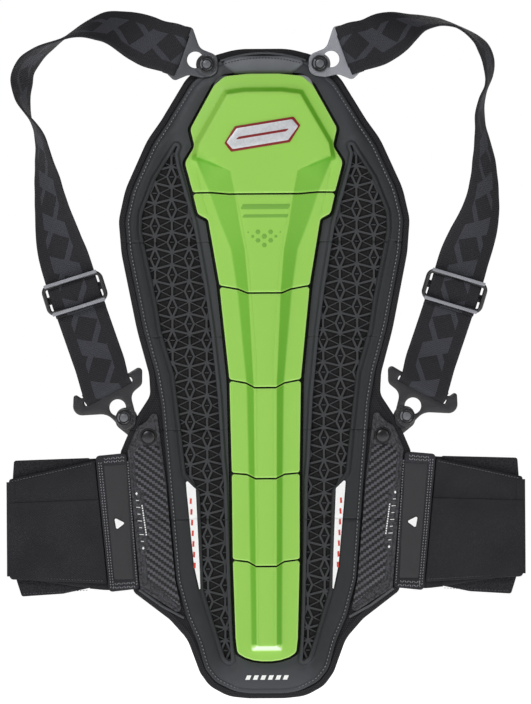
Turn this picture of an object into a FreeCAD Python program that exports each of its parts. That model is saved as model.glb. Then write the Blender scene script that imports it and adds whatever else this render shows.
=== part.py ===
"""Motorcycle back protector: six plated spine segments, shoulder straps and a folded waist belt.

Units are millimetres.  +Z is up along the spine, -Y is the outer (plate) side and +Y is the
wearer's side.  The back faces of all pads lie in the plane y = 0, and the origin is on that
face in the middle of segment 4, which the wearer's back supports.
"""
import FreeCAD, Part
import math
import os

V = FreeCAD.Vector

# ---- depth levels, measured forward from the back face (towards -Y) ----
PAD_DEPTH = 9.0
COVER_DEPTH = 12.0
WINDOW_FLOOR = 9.8
GRID_DEPTH = 11.2
RIM_DEPTH = 21.0
FLANK_DEPTH = 24.0
CREST_DEPTH = 30.0
CORE_DEPTH = 17.8
PLATE_WALL = 2.5
BODY_GAP = 0.3

# ---- flex lines between the six segments ----
SEAMS = [183.8, 109.5, 36.7, -34.4, -101.7]
TOP_LIMIT = 320.0
BOTTOM_LIMIT = -230.0
FRONT_LIMIT = 40.0
SEGMENTS = 6
CUT_MARGIN = 1.0

# ---- board outlines, right half, as (x, z, corner radius) ----
PAD_HALF = [
    (20, 296.6, 60), (40, 291.2, 25), (60, 273.5, 30), (79.8, 241, 60), (90.5, 226, 60),
    (107.7, 187.9, 60), (113, 164, 30), (111, 138, 80), (99.2, 78.3, 200), (90.1, 44.6, 30),
    (89.2, 28, 12), (99, 13, 20), (106.2, -0.8, 30), (112.6, -15.7, 4), (103.2, -124.6, 6),
    (75, -146.2, 25), (61.5, -161.5, 30), (52, -187.5, 20), (44.5, -198, 20), (30, -206, 30),
    (14, -207.7, 60),
]
COVER_HALF = [
    (20, 291.4, 60), (37, 286.6, 25), (56, 270, 30), (75.5, 238.5, 60), (86.5, 222, 60),
    (102.9, 186.5, 60), (108, 164, 30), (106, 139, 80), (94.3, 79, 200), (85.3, 46, 30),
    (81.2, 21.5, 60), (76, -40, 60), (70, -115.5, 40), (62.5, -143, 25), (53.6, -163.3, 60),
    (48, -184, 20), (40, -194.3, 20), (25, -201.8, 30), (14, -203.4, 60),
]
# vent window, right side, as (x, z)
WINDOW = [
    (65.4, 225.5), (84.2, 195.5), (94.6, 169.2), (95.0, 155.1), (83.9, 101.5), (80.4, 78.3),
    (70.5, 44.6), (65.3, -0.8), (62.0, -31.9), (51.2, -46.5), (48.6, -123.2), (40.4, -149.8),
    (32.6, -175.2), (27.7, -179.0), (29.9, -137.6), (32.6, -38.0), (34.1, -23.0), (36.7, 25.9),
    (41.9, 78.3), (46.7, 112.8), (55.1, 161.7), (67.7, 205.8), (69.2, 215.2),
]
# vent grid: staggered columns of rhombic holes
GRID_COLUMN = 13.6
GRID_PERIOD = 25.8
HOLE_HALF_WIDTH = 5.0
HOLE_HEIGHT = 10.6
GRID_RIB = 1.3
GRID_COLUMNS = range(2, 8)
GRID_ROWS = range(-16, 22)

# ---- armour plates ----
# right half of each flex line on the plates: side, shoulder and spine points as (x, z)
PLATE_SEAMS = [
    [(55.0, 184.5), (41.0, 184.5), (27.0, 183.1)],
    [(34.8, 112.4), (20.2, 109.7), (13.2, 106.7)],
    [(27.6, 39.7), (14.7, 37.2), (8.1, 33.7)],
    [(26.2, -32.4), (14.7, -33.3), (7.8, -36.4)],
    [(25.8, -99.4), (14.0, -100.8), (7.8, -104.1)],
]
PLATE_SIDES = [
    [(21.4, 275.4), (38.2, 267.4), (56.7, 234.0), (53.4, 220.3), (61.1, 208.0)],
    [(51.3, 168.3), (43.4, 164.0)],
    [],
    [],
    [],
    [(24.0, -160.0), (22.5, -172.0), (12.0, -176.6)],
]
TOP_EDGE_Z = 260.0
FOOT_EDGE_Z = -170.0
PLATE_GAP = 0.8
SIDE_GAP = 0.6
OPEN_END = 5.0
TONGUE_REACH = 6.5
TONGUE_WALL = 2.0
TONGUE_CLEARANCE = 1.2
TOP_WALL = 3.0
CORE_CLEARANCE = 8.5
# ridge of the plates: (z, flank half-width, crest half-width)
RIDGE = [(290, 40, 28), (183, 41.9, 22.5), (142, 26.4, 17.8), (107, 21.0, 11.4),
         (36, 14.2, 8.5), (-36, 13.0, 8.2), (-190, 12.4, 7.8)]
RIDGE_SIDE = 75.0
RIM_SLOPE = 1.0
CELL_PITCH = 9.0
CELL_RADIUS = 4.3
CELL_MARGIN = 0.8
CELL_COLUMNS = range(-8, 8)

# ---- shoulder strap fittings (right side) ----
UPPER_STUD = (43.8, 284.2)
UPPER_EYE = (52.6, 287.8)
LOWER_STUD = (109.6, 10.9)
LOWER_EYE = (114.5, 18.8)
NECK_RADIUS = 3.0
NECK_FIT = 0.06
HEAD_RADIUS = 6.4
HEAD_HEIGHT = 2.8
HEAD_ROUND = 1.2
HEAD_CLEARANCE = 0.2
BOSS_RADIUS = 8.4
EYE_RADIUS = 6.4
KEY_SLOT = 4.8
CLIP_WALL = 3.0
YOKE_BACK = 10.0
ARM_BACK = 4.0
ARM_FRONT = 7.0
UPPER_CLIP = [
    (54.5, 312.8, 3.5), (62.5, 314.5, 3.5), (75.2, 277.6, 3.5), (69.0, 271.6, 3.5),
    (58, 276.2, 8), (48, 273.8, 7), (35.2, 275.4, 7.5), (35.2, 291.2, 7), (49, 296.5, 8),
]
UPPER_SLOT = [(57.2, 306.2), (60.2, 307.3), (69.4, 281.9), (66.4, 280.8)]
LOWER_CLIP = [
    (95.2, 52.0, 5), (95.4, 36.5, 5), (104.6, 29.0, 8), (100.3, 12.0, 8), (101.0, 2.6, 6),
    (109.6, 0.6, 6), (122.5, 13.8, 12), (149.5, 12.4, 7), (148.6, 30.2, 6), (142.4, 26.0, 2),
    (104.4, 46.4, 2),
]
LOWER_SLOT = [(104.2, 42.6), (102.6, 39.4), (139.2, 19.9), (140.8, 23.1)]
YOKE_OUTLINE = [
    (0, 262, 0), (26, 262, 10), (36, 268, 12), (52.0, 280, 8), (50, 292, 8), (40, 292, 8),
    (30, 276, 12), (20, 272, 8), (0, 272, 0),
]
ARM_OUTLINE = [
    (84, -2, 4), (94, -12, 3), (104, -5, 6), (117.6, 6.0, 8), (114, 19.4, 8), (101.5, 18.0, 8),
    (98, 8, 8),
]
COLLAR_OUTLINE = [(18, 290.6, 30), (34.2, 286.6, 3), (22.5, 276.9, 3)]
COLLAR_WALL = 3.0

# ---- webbing ----
WEB_HALF = 20.0
WEB_WALL = 1.8
WEB_STEPS = 4
# paths of the upper webbing: x, y, z and the roll of its face away from the front
LEFT_WEB_PATH = [
    (84.5, -13.4, 300.4, 3), (94.2, -12.0, 304.9, 12), (111.6, -9.0, 312.7, 38),
    (126.3, -6.0, 315.0, 53), (142.6, -3.0, 311.9, 74), (155.9, -1.0, 305.8, 85),
    (166.5, 0.0, 300.0, 93), (175.9, 0.5, 293.7, 101), (184.5, 0.5, 284.5, 108),
    (188.1, 0.0, 273.0, 111), (187.6, -1.0, 259.0, 103), (183.3, -2.0, 246.5, 92),
    (177.6, -3.0, 236.5, 83), (173.4, -4.0, 225.0, 75), (171.3, -5.0, 211.0, 68),
    (168.6, -5.8, 196.0, 58), (164.9, -6.3, 173.0, 45), (159.8, -6.5, 149.0, 24),
    (155.4, -6.5, 134.0, 8), (151.7, -6.5, 121.7, 0), (149.05, -6.5, 113.0, 0),
]
RIGHT_WEB_PATH = [
    (84.5, -13.4, 300.4, 3), (93.0, -12.3, 304.6, 9), (101.5, -10.6, 309.0, 24),
    (110.8, -8.6, 313.4, 45), (120.1, -6.6, 316.2, 64), (129.4, -4.8, 317.4, 73),
    (138.7, -3.2, 317.0, 79), (148.0, -1.8, 314.6, 83), (157.3, -0.8, 309.8, 82),
    (165.5, -0.2, 304.0, 77), (171.4, 0.0, 296.8, 73), (174.8, 0.2, 288.0, 73),
    (175.3, 0.0, 276.5, 79), (172.9, -0.4, 264.8, 86), (169.6, -1.2, 253.5, 81),
    (168.4, -2.2, 241.5, 77), (169.6, -3.2, 229.5, 73), (170.8, -4.0, 217.8, 66),
    (171.3, -4.8, 206.2, 60), (171.2, -5.4, 194.5, 55), (170.4, -5.9, 182.9, 49),
    (168.6, -6.3, 171.3, 41), (165.4, -6.5, 159.7, 31), (161.0, -6.5, 148.3, 20),
    (155.4, -6.5, 134.0, 8), (151.7, -6.5, 121.7, 0), (149.05, -6.5, 113.0, 0),
]
UPPER_SEW_START = (73.0, -13.8, 296.0)
WEB_DEPTH = 6.5
JOINT_CENTRE = (148.9, 112.5)
LOWER_WEB_END = [(109.1, 58.5), (144.9, 39.7)]
LOWER_SEW_END = [(105.6, 46.9), (141.5, 28.0)]
CLIP_WEB_DEPTH = 8.8

# ---- strap adjuster ----
ADJUSTER_CENTRE = (147.4, 107.7)
STRAP_TILT = 17.05
FRAME_HALF_WIDTH = 24.5
FRAME_HALF_HEIGHT = 13.0
FRAME_CORNER = 7.0
SIDE_CLEAR = 21.3
BAR_HEIGHT = 4.0
CENTRE_BAR_HALF = 3.0
BAR_FRONT = 12.2
BAR_BACK = 7.8
CENTRE_BAR_FRONT = 5.2
CENTRE_BAR_BACK = 2.2

# ---- wings, snaps and waist belt (right side) ----
WING_OUTLINE = [
    (84.5, 18.6, 3), (93, 7.0, 12), (99.2, 4.2, 6), (107.2, -14.5, 3), (98.0, -121.7, 3),
    (64.5, -143.5, 3), (71.2, -115.5, 40), (77.2, -40, 60),
]
SNAP_CENTRE = (90.8, -3.9)
SNAP_RADIUS = 5.2
SNAP_HEIGHT = 2.6
SNAP_ROUND = 1.0
TAB_OUTLINE = [(108, -16.4, 3), (132.0, -18.6, 3), (122.0, -124.2, 3), (98.6, -121.7, 3)]
TAB_BACK = 9.3
TAB_FRONT = 12.3
BAND_OUTLINE = [(132.4, -21.9, 1), (199, -36.4, 2), (199.4, -52, 2), (199, -113.9, 3),
                (123.3, -117.6, 1)]
MIDDLE_OUTLINE = [(199, -38, 1), (199, -112, 1), (136, -121.5, 3), (136, -22.5, 3)]
END_OUTLINE = [(136, -20.2, 2), (195.5, -22.0, 2), (196.5, -36, 2), (194, -115, 4),
               (190, -127.6, 2), (158, -125.6, 6), (136, -121, 2)]
BELT_WALL = 2.5
BELT_PITCH = 2.9


# ---- helpers ----
def point(x, y, z):
    return V(float(x), float(y), float(z))


def rounded_face(corners):
    """Face in the XZ plane from (x, z, radius) corners, each rounded by a tangent arc."""
    edges = []
    first = None
    last = None
    count = len(corners)
    for index in range(count):
        x, z, radius = corners[index]
        here = point(x, 0, z)
        before = point(corners[index - 1][0], 0, corners[index - 1][1])
        after = point(corners[(index + 1) % count][0], 0, corners[(index + 1) % count][1])
        to_before = (before - here).normalize()
        to_after = (after - here).normalize()
        angle = to_before.getAngle(to_after)
        if radius > 0 and angle < math.radians(179.8):
            room = 0.49 * min((before - here).Length, (after - here).Length)
            setback = min(radius / math.tan(angle / 2), room)
            reach = setback * math.tan(angle / 2)
            start = here + to_before * setback
            end = here + to_after * setback
            bisector = (to_before + to_after).normalize()
            middle = here + bisector * (reach / math.sin(angle / 2) - reach)
            piece = Part.Arc(start, middle, end).toShape()
        else:
            start = here
            end = here
            piece = None
        if last is not None and (start - last).Length > 1e-6:
            edges.append(Part.LineSegment(last, start).toShape())
        if piece is not None:
            edges.append(piece)
        if first is None:
            first = start
        last = end
    if (first - last).Length > 1e-6:
        edges.append(Part.LineSegment(last, first).toShape())
    return Part.Face(Part.Wire(edges))


def slab(corners, back, front):
    """Rounded outline made solid between two depths in front of the back face."""
    face = rounded_face(corners)
    face.translate(V(0, -back, 0))
    return face.extrude(V(0, back - front, 0))


def plain(corners):
    """Corners without rounding."""
    return [(x, z, 0) for x, z in corners]


def both_sides(half):
    """Closed outline from its right half, listed from top to bottom."""
    return half + [(-x, z, r) for x, z, r in reversed(half) if x != 0]


def mirrored(shape):
    return shape.mirror(V(0, 0, 0), V(1, 0, 0))


def cylinder(centre, radius, back, front):
    base = point(centre[0], -back, centre[1])
    return Part.makeCylinder(radius, front - back, base, V(0, -1, 0))


def band(index):
    """Box that cuts segment `index` (0 at the top) out of the board."""
    top = TOP_LIMIT if index == 0 else SEAMS[index - 1] - BODY_GAP / 2
    bottom = BOTTOM_LIMIT if index == SEGMENTS - 1 else SEAMS[index] + BODY_GAP / 2
    return Part.makeBox(400, 200, top - bottom, point(-200, -100, bottom))


def polyhedron(sections):
    """Closed solid through sections that all have the same number of corners.

    The second half of the corners takes the other diagonal, so that the two faces of a strip
    stay parallel and a mirrored ring gives a mirrored solid.
    """
    faces = []

    def triangle(a, b, c):
        faces.append(Part.Face(Part.makePolygon([a, b, c, a])))

    count = len(sections[0])
    for lower, upper in zip(sections, sections[1:]):
        for k in range(count):
            n = (k + 1) % count
            if k < count / 2:
                triangle(lower[k], lower[n], upper[n])
                triangle(lower[k], upper[n], upper[k])
            else:
                triangle(lower[k], lower[n], upper[k])
                triangle(lower[n], upper[n], upper[k])
    for cap in (sections[0], sections[-1]):
        for k in range(1, count - 1):
            triangle(cap[0], cap[k], cap[k + 1])
    solid = Part.Solid(Part.Shell(faces))
    if solid.Volume < 0:
        solid.reverse()
    return solid


def ridge(inset):
    """Ridged envelope of the plates, lowered by `inset`, from the cover forward."""
    sections = []
    for z, flank, crest in RIDGE:
        rim = RIM_DEPTH - inset
        half = [(RIDGE_SIDE, COVER_DEPTH), (RIDGE_SIDE, rim - RIM_SLOPE), (flank, FLANK_DEPTH - inset),
                (crest, CREST_DEPTH - inset)]
        ring = [point(x, -y, z) for x, y in half] + [point(-x, -y, z) for x, y in reversed(half)]
        sections.append(ring)
    return polyhedron(sections)


# ---- board ----
def pads_and_covers():
    pad = slab(both_sides(PAD_HALF), 0, PAD_DEPTH)
    arm_pocket = slab(ARM_OUTLINE, ARM_BACK, PAD_DEPTH)
    pad = pad.cut(Part.makeCompound([arm_pocket, mirrored(arm_pocket)]))
    cover = slab(both_sides(COVER_HALF), PAD_DEPTH, COVER_DEPTH)
    window = slab(plain(WINDOW), WINDOW_FLOOR, COVER_DEPTH)
    yoke_pocket = slab(both_sides(YOKE_OUTLINE), YOKE_BACK, COVER_DEPTH)
    cover = cover.cut(Part.makeCompound([window, mirrored(window), yoke_pocket]))
    parts = {}
    for index in range(SEGMENTS):
        parts["pad_%d" % (index + 1)] = pad.common(band(index))
        parts["cover_%d" % (index + 1)] = cover.common(band(index))
    return parts


def inside(x, z, polygon):
    """Even-odd test of a point against a closed polygon."""
    hit = False
    for (x0, z0), (x1, z1) in zip(polygon, polygon[1:] + polygon[:1]):
        if (z0 > z) != (z1 > z) and x < x0 + (z - z0) * (x1 - x0) / (z1 - z0):
            hit = not hit
    return hit


def edge_distance(x, z, polygon):
    nearest = 1e9
    for (x0, z0), (x1, z1) in zip(polygon, polygon[1:] + polygon[:1]):
        dx, dz = x1 - x0, z1 - z0
        along = ((x - x0) * dx + (z - z0) * dz) / (dx * dx + dz * dz)
        along = max(0.0, min(1.0, along))
        nearest = min(nearest, math.hypot(x - x0 - along * dx, z - z0 - along * dz))
    return nearest


def vent_grids():
    """Vent grid of each segment: a left and a right panel set into the cover windows."""
    parts = {}
    for index in range(SEGMENTS):
        panel = slab(plain(WINDOW), WINDOW_FLOOR, GRID_DEPTH).common(band(index))
        top = TOP_LIMIT if index == 0 else SEAMS[index - 1]
        bottom = BOTTOM_LIMIT if index == SEGMENTS - 1 else SEAMS[index]
        holes = []
        for column in GRID_COLUMNS:
            x = column * GRID_COLUMN
            for row in GRID_ROWS:
                z = row * GRID_PERIOD / 2 + (column % 2) * GRID_PERIOD / 4
                corners = [(x, z + HOLE_HEIGHT / 2), (x + HOLE_HALF_WIDTH, z),
                           (x, z - HOLE_HEIGHT / 2), (x - HOLE_HALF_WIDTH, z)]
                clear = all(inside(cx, cz, WINDOW) and edge_distance(cx, cz, WINDOW) > GRID_RIB
                            and bottom + GRID_RIB < cz < top - GRID_RIB for cx, cz in corners)
                if clear:
                    holes.append(slab(plain(corners), WINDOW_FLOOR - CUT_MARGIN, GRID_DEPTH + CUT_MARGIN))
        if holes:
            panel = panel.cut(Part.makeCompound(holes))
        parts["vent_grid_%d" % (index + 1)] = Part.makeCompound([panel, mirrored(panel)])
    return parts


# ---- armour ----
def plate_outline(index, inset, top_drop, bottom_drop):
    """Right half of a plate's outline, drawn in by `inset` at the sides."""
    half = []
    if index > 0:
        for x, z in reversed(PLATE_SEAMS[index - 1]):
            half.append((x, z - PLATE_GAP / 2 - top_drop))
        x, z = half[-1]
        half[-1] = (x - inset, z)
    for x, z in PLATE_SIDES[index]:
        drop = top_drop if index == 0 and z > TOP_EDGE_Z else 0.0
        lift = bottom_drop if index == SEGMENTS - 1 and z < FOOT_EDGE_Z else 0.0
        half.append((x - inset, z - drop - lift))
    if index < SEGMENTS - 1:
        side = PLATE_SEAMS[index][0]
        half.append((side[0] - inset, side[1] + PLATE_GAP / 2 - bottom_drop))
        for x, z in PLATE_SEAMS[index][1:]:
            half.append((x, z + PLATE_GAP / 2 - bottom_drop))
    return [(x, z, 0) for x, z in half]


def armour():
    """Plates and the honeycomb core behind each of them."""
    outer = ridge(0)
    hollow = ridge(PLATE_WALL)
    tongue_outer = ridge(PLATE_WALL + TONGUE_CLEARANCE)
    tongue_inner = ridge(PLATE_WALL + TONGUE_CLEARANCE + TONGUE_WALL)
    tongue_skin = tongue_outer.cut(tongue_inner)
    parts = {}
    for index in range(SEGMENTS):
        last = index == SEGMENTS - 1
        shape = slab(both_sides(plate_outline(index, 0, 0, 0)), COVER_DEPTH, FRONT_LIMIT)
        plate = outer.common(shape)
        wall = PLATE_WALL if index == 0 else TOP_WALL
        open_end = -PLATE_WALL if last else OPEN_END
        cavity = slab(both_sides(plate_outline(index, PLATE_WALL, wall, open_end)),
                      COVER_DEPTH - CUT_MARGIN, FRONT_LIMIT)
        plate = plate.cut(hollow.common(cavity))
        if index > 0:
            inset = PLATE_WALL + SIDE_GAP
            half = [(x, z - PLATE_GAP / 2) for x, z in reversed(PLATE_SEAMS[index - 1])]
            half[-1] = (half[-1][0] - inset, half[-1][1])
            low = [(x, z - TOP_WALL, 0) for x, z in half]
            high = [(x, z + TONGUE_REACH, 0) for x, z in half]
            ring = high + low[::-1] + [(-x, z, r) for x, z, r in low]
            ring += [(-x, z, r) for x, z, r in reversed(high)]
            plate = plate.fuse(tongue_skin.common(slab(ring, COVER_DEPTH, FRONT_LIMIT))).removeSplitter()
        parts["plate_%d" % (index + 1)] = plate
        parts["core_%d" % (index + 1)] = honeycomb(index, wall)
    return parts


def honeycomb(index, wall):
    last = index == SEGMENTS - 1
    end = -(PLATE_WALL + SIDE_GAP) if last else -CORE_CLEARANCE
    inset = PLATE_WALL + SIDE_GAP
    half = plate_outline(index, inset, wall + SIDE_GAP, end)
    block = slab(both_sides(half), COVER_DEPTH, CORE_DEPTH)
    outline = [(x, z) for x, z, r in both_sides(half)]
    cells = []
    row_height = CELL_PITCH * math.sqrt(3) / 2
    box = block.BoundBox
    for row in range(int((box.ZMax - box.ZMin) / row_height) + 1):
        z = box.ZMin + (row + 0.5) * row_height
        shift = 0.5 * (row % 2)
        for column in CELL_COLUMNS:
            x = (column + shift) * CELL_PITCH
            if inside(x, z, outline) and edge_distance(x, z, outline) > CELL_RADIUS + CELL_MARGIN:
                corners = []
                for corner in range(6):
                    turn = math.radians(60 * corner + 30)
                    corners.append((x + CELL_RADIUS * math.cos(turn),
                                    z + CELL_RADIUS * math.sin(turn)))
                cells.append(slab(plain(corners), COVER_DEPTH - CUT_MARGIN, CORE_DEPTH + CUT_MARGIN))
    return block.cut(Part.makeCompound(cells))


# ---- shoulder strap fittings ----
def stud(centre, seat):
    """Mushroom stud that stands on a face at depth `seat`."""
    shoulder = seat + BODY_GAP + CLIP_WALL + HEAD_CLEARANCE
    neck = cylinder(centre, NECK_RADIUS, seat - CUT_MARGIN, shoulder + CUT_MARGIN)
    head = cylinder(centre, HEAD_RADIUS, shoulder, shoulder + HEAD_HEIGHT)
    rim = [edge for edge in head.Edges if abs(edge.BoundBox.YMin + shoulder + HEAD_HEIGHT) < 0.01]
    head = head.makeFillet(HEAD_ROUND, [edge for edge in rim if edge.BoundBox.YLength < 0.01])
    return neck.fuse(head)


def clip(corners, slot, centre, eye, seat):
    """Clip plate with a webbing slot and a keyhole for its stud."""
    back = seat + BODY_GAP
    front = back + CLIP_WALL
    body = slab(corners, back, front)
    pin_hole = cylinder(centre, NECK_RADIUS + NECK_FIT, back - CUT_MARGIN,
                        front + CUT_MARGIN)
    eye_hole = cylinder(eye, EYE_RADIUS, back - CUT_MARGIN, front + CUT_MARGIN)
    run = point(eye[0] - centre[0], 0, eye[1] - centre[1])
    across = V(-run.z, 0, run.x).normalize() * (KEY_SLOT / 2)
    start = point(centre[0], 0, centre[1])
    end = point(eye[0], 0, eye[1])
    key = [start + across, end + across, end - across, start - across]
    key_hole = slab([(p.x, p.z, 0) for p in key], back - CUT_MARGIN, front + CUT_MARGIN)
    web_hole = slab(plain(slot), back - CUT_MARGIN, front + CUT_MARGIN)
    return body.cut(Part.makeCompound([pin_hole.fuse(eye_hole).fuse(key_hole), web_hole]))


def yoke():
    bar = slab(both_sides(YOKE_OUTLINE), YOKE_BACK, COVER_DEPTH)
    right = cylinder(UPPER_STUD, BOSS_RADIUS, YOKE_BACK, COVER_DEPTH).fuse(
        stud(UPPER_STUD, COVER_DEPTH))
    return bar.fuse([right, mirrored(right)]).removeSplitter()


def side_arm():
    arm = slab(ARM_OUTLINE, ARM_BACK, ARM_FRONT)
    return arm.fuse(stud(LOWER_STUD, ARM_FRONT)).removeSplitter()


def smoothed(path, steps):
    """Path with `steps` spans in each of its own, on a curve through all its points."""
    points = []
    for index in range(len(path) - 1):
        a, b, c, d = [path[max(0, min(len(path) - 1, index + k))] for k in (-1, 0, 1, 2)]
        for step in range(steps):
            t = step / steps
            points.append(tuple(
                q + 0.5 * t * (r - p + t * (2 * p - 5 * q + 4 * r - s + t * (3 * (q - r) + s - p)))
                for p, q, r, s in zip(a, b, c, d)))
    return points + [path[-1]]


def web_section(here, tangent, roll):
    """Corners of the webbing's section at one place on its path."""
    outward = V(-tangent.z, 0, tangent.x).normalize()
    turn = math.radians(roll)
    normal = V(0, -math.cos(turn), 0) + outward * math.sin(turn)
    width = tangent.cross(normal).normalize() * WEB_HALF
    lift = width.cross(tangent).normalize() * (WEB_WALL / 2)
    return [here + width + lift, here - width + lift, here - width - lift, here + width - lift]


def ribbon(path):
    """Twisted webbing along (x, y, z, roll) points, as a closed faceted solid."""
    rings = []
    for index, (x, y, z, roll) in enumerate(path):
        before = point(*path[max(index - 1, 0)][:3])
        after = point(*path[min(index + 1, len(path) - 1)][:3])
        rings.append(web_section(point(x, y, z), (after - before).normalize(), roll))
    return polyhedron(rings)


def sewn_end(path):
    """Sewn end of the webbing, from its clip to where the free webbing on `path` starts."""
    start = point(*UPPER_SEW_START)
    first, second = smoothed(path, WEB_STEPS)[:2]
    here = point(*first[:3])
    heading = (point(*second[:3]) - here).normalize()
    stop = here - heading * BODY_GAP
    return polyhedron([web_section(start, (stop - start).normalize(), 0),
                       web_section(stop, heading, first[3])])


def blade(edge_a, depth_a, edge_b, depth_b):
    """Flat strip of webbing between two edges given as (x, z) pairs."""
    rings = []
    for edge, depth in ((edge_a, depth_a), (edge_b, depth_b)):
        (x0, z0), (x1, z1) = edge
        near = -depth + WEB_WALL / 2
        far = -depth - WEB_WALL / 2
        rings.append([point(x0, near, z0), point(x1, near, z1), point(x1, far, z1),
                      point(x0, far, z0)])
    return polyhedron(rings)


def webbing():
    """Lower webbing of the right side, and its sewn end at the lower clip."""
    tilt = math.radians(STRAP_TILT)
    across = (math.cos(tilt) * WEB_HALF, -math.sin(tilt) * WEB_HALF)
    x, z = JOINT_CENTRE
    top_edge = [(x - across[0], z - across[1]), (x + across[0], z + across[1])]
    lower = blade(top_edge, WEB_DEPTH, LOWER_WEB_END, WEB_DEPTH)
    sewn_lower = blade([(a, b - BODY_GAP) for a, b in LOWER_WEB_END], WEB_DEPTH,
                       LOWER_SEW_END, CLIP_WEB_DEPTH)
    return lower, sewn_lower


def adjuster():
    """Slider frame: two bars in front of the webbing, a bar behind it and two side walls."""
    w, h = FRAME_HALF_WIDTH, FRAME_HALF_HEIGHT
    corners = [(-w, h, FRAME_CORNER), (w, h, FRAME_CORNER), (w, -h, FRAME_CORNER),
               (-w, -h, FRAME_CORNER)]
    body = slab(corners, CENTRE_BAR_BACK, BAR_FRONT)
    s = SIDE_CLEAR
    opening = slab(plain([(-s, h - BAR_HEIGHT), (s, h - BAR_HEIGHT), (s, BAR_HEIGHT - h),
                          (-s, BAR_HEIGHT - h)]), CENTRE_BAR_BACK - CUT_MARGIN, BAR_FRONT + CUT_MARGIN)
    out = h + CUT_MARGIN
    channel = slab(plain([(-s, out), (s, out), (s, -out), (-s, -out)]),
                   CENTRE_BAR_BACK - CUT_MARGIN, BAR_BACK)
    c = CENTRE_BAR_HALF
    end = s + CUT_MARGIN
    bar = slab(plain([(-end, c), (end, c), (end, -c), (-end, -c)]), CENTRE_BAR_BACK,
               CENTRE_BAR_FRONT)
    frame = body.cut(opening).cut(channel).fuse(bar).removeSplitter()
    frame.rotate(V(0, 0, 0), V(0, 1, 0), STRAP_TILT)
    frame.translate(point(ADJUSTER_CENTRE[0], 0, ADJUSTER_CENTRE[1]))
    return frame


# ---- wings and belt ----
def snap():
    cap = cylinder(SNAP_CENTRE, SNAP_RADIUS, COVER_DEPTH, COVER_DEPTH + SNAP_HEIGHT)
    rim = [edge for edge in cap.Edges
           if edge.BoundBox.YLength < 0.01 and edge.BoundBox.YMin < -COVER_DEPTH - SNAP_ROUND]
    return cap.makeFillet(SNAP_ROUND, rim)


def belt_layer(corners, layer):
    back = TAB_FRONT - BELT_PITCH * layer - BELT_WALL
    return slab(corners, back, back + BELT_WALL)


def fittings():
    parts = {
        "shoulder_yoke": yoke(),
        "collar_pad": slab(both_sides(COLLAR_OUTLINE), COVER_DEPTH, COVER_DEPTH + COLLAR_WALL),
        "snap_caps": Part.makeCompound([snap(), mirrored(snap())]),
    }
    lower, sewn_lower = webbing()
    parts["upper_sewn_ends"] = Part.makeCompound([sewn_end(RIGHT_WEB_PATH),
                                                  mirrored(sewn_end(LEFT_WEB_PATH))])
    parts["lower_sewn_ends"] = Part.makeCompound([sewn_lower, mirrored(sewn_lower)])
    wing = slab(WING_OUTLINE, PAD_DEPTH, COVER_DEPTH)
    tip = wing.common(band(5))
    parts["wing_tips"] = Part.makeCompound([tip, mirrored(tip)])
    sided = {
        "side_arm": side_arm(),
        "upper_clip": clip(UPPER_CLIP, UPPER_SLOT, UPPER_STUD, UPPER_EYE, COVER_DEPTH),
        "lower_clip": clip(LOWER_CLIP, LOWER_SLOT, LOWER_STUD, LOWER_EYE, ARM_FRONT),
        "lower_webbing": lower,
        "adjuster": adjuster(),
        "wing_top": wing.common(band(3)),
        "wing_middle": wing.common(band(4)),
        "belt_tab": slab(TAB_OUTLINE, TAB_BACK, TAB_FRONT),
        "belt_band": belt_layer(BAND_OUTLINE, 0),
        "belt_middle": belt_layer(MIDDLE_OUTLINE, 1),
        "belt_end": belt_layer(END_OUTLINE, 2),
    }
    for name, shape in sided.items():
        parts["right_" + name] = shape
        parts["left_" + name] = mirrored(shape)
    parts["right_upper_webbing"] = ribbon(smoothed(RIGHT_WEB_PATH, WEB_STEPS))
    parts["left_upper_webbing"] = mirrored(ribbon(smoothed(LEFT_WEB_PATH, WEB_STEPS)))
    return parts


def main():
    os.makedirs("parts", exist_ok=True)
    parts = {}
    parts.update(pads_and_covers())
    parts.update(vent_grids())
    parts.update(armour())
    parts.update(fittings())
    for name, shape in sorted(parts.items()):
        shape.exportStep("parts/%s.step" % name)
        box = shape.BoundBox
        print("%-18s solids %d valid %s volume %8.0f  x %7.1f %7.1f  y %6.1f %6.1f  z %7.1f %7.1f"
              % (name, len(shape.Solids), shape.isValid(), shape.Volume, box.XMin, box.XMax,
                 box.YMin, box.YMax, box.ZMin, box.ZMax))
    print(len(parts), "parts")


main()
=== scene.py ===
"""Looks of the motorcycle back protector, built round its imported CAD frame.

Outlines and profiles are in millimetres: x to the right, z up, and a depth that counts forward
from the back face.  `world` turns them into the frame's metres, where depth is -Y.
"""

import math

import bmesh
import bpy
import numpy as np
from mathutils import Matrix, Vector, geometry

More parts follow.
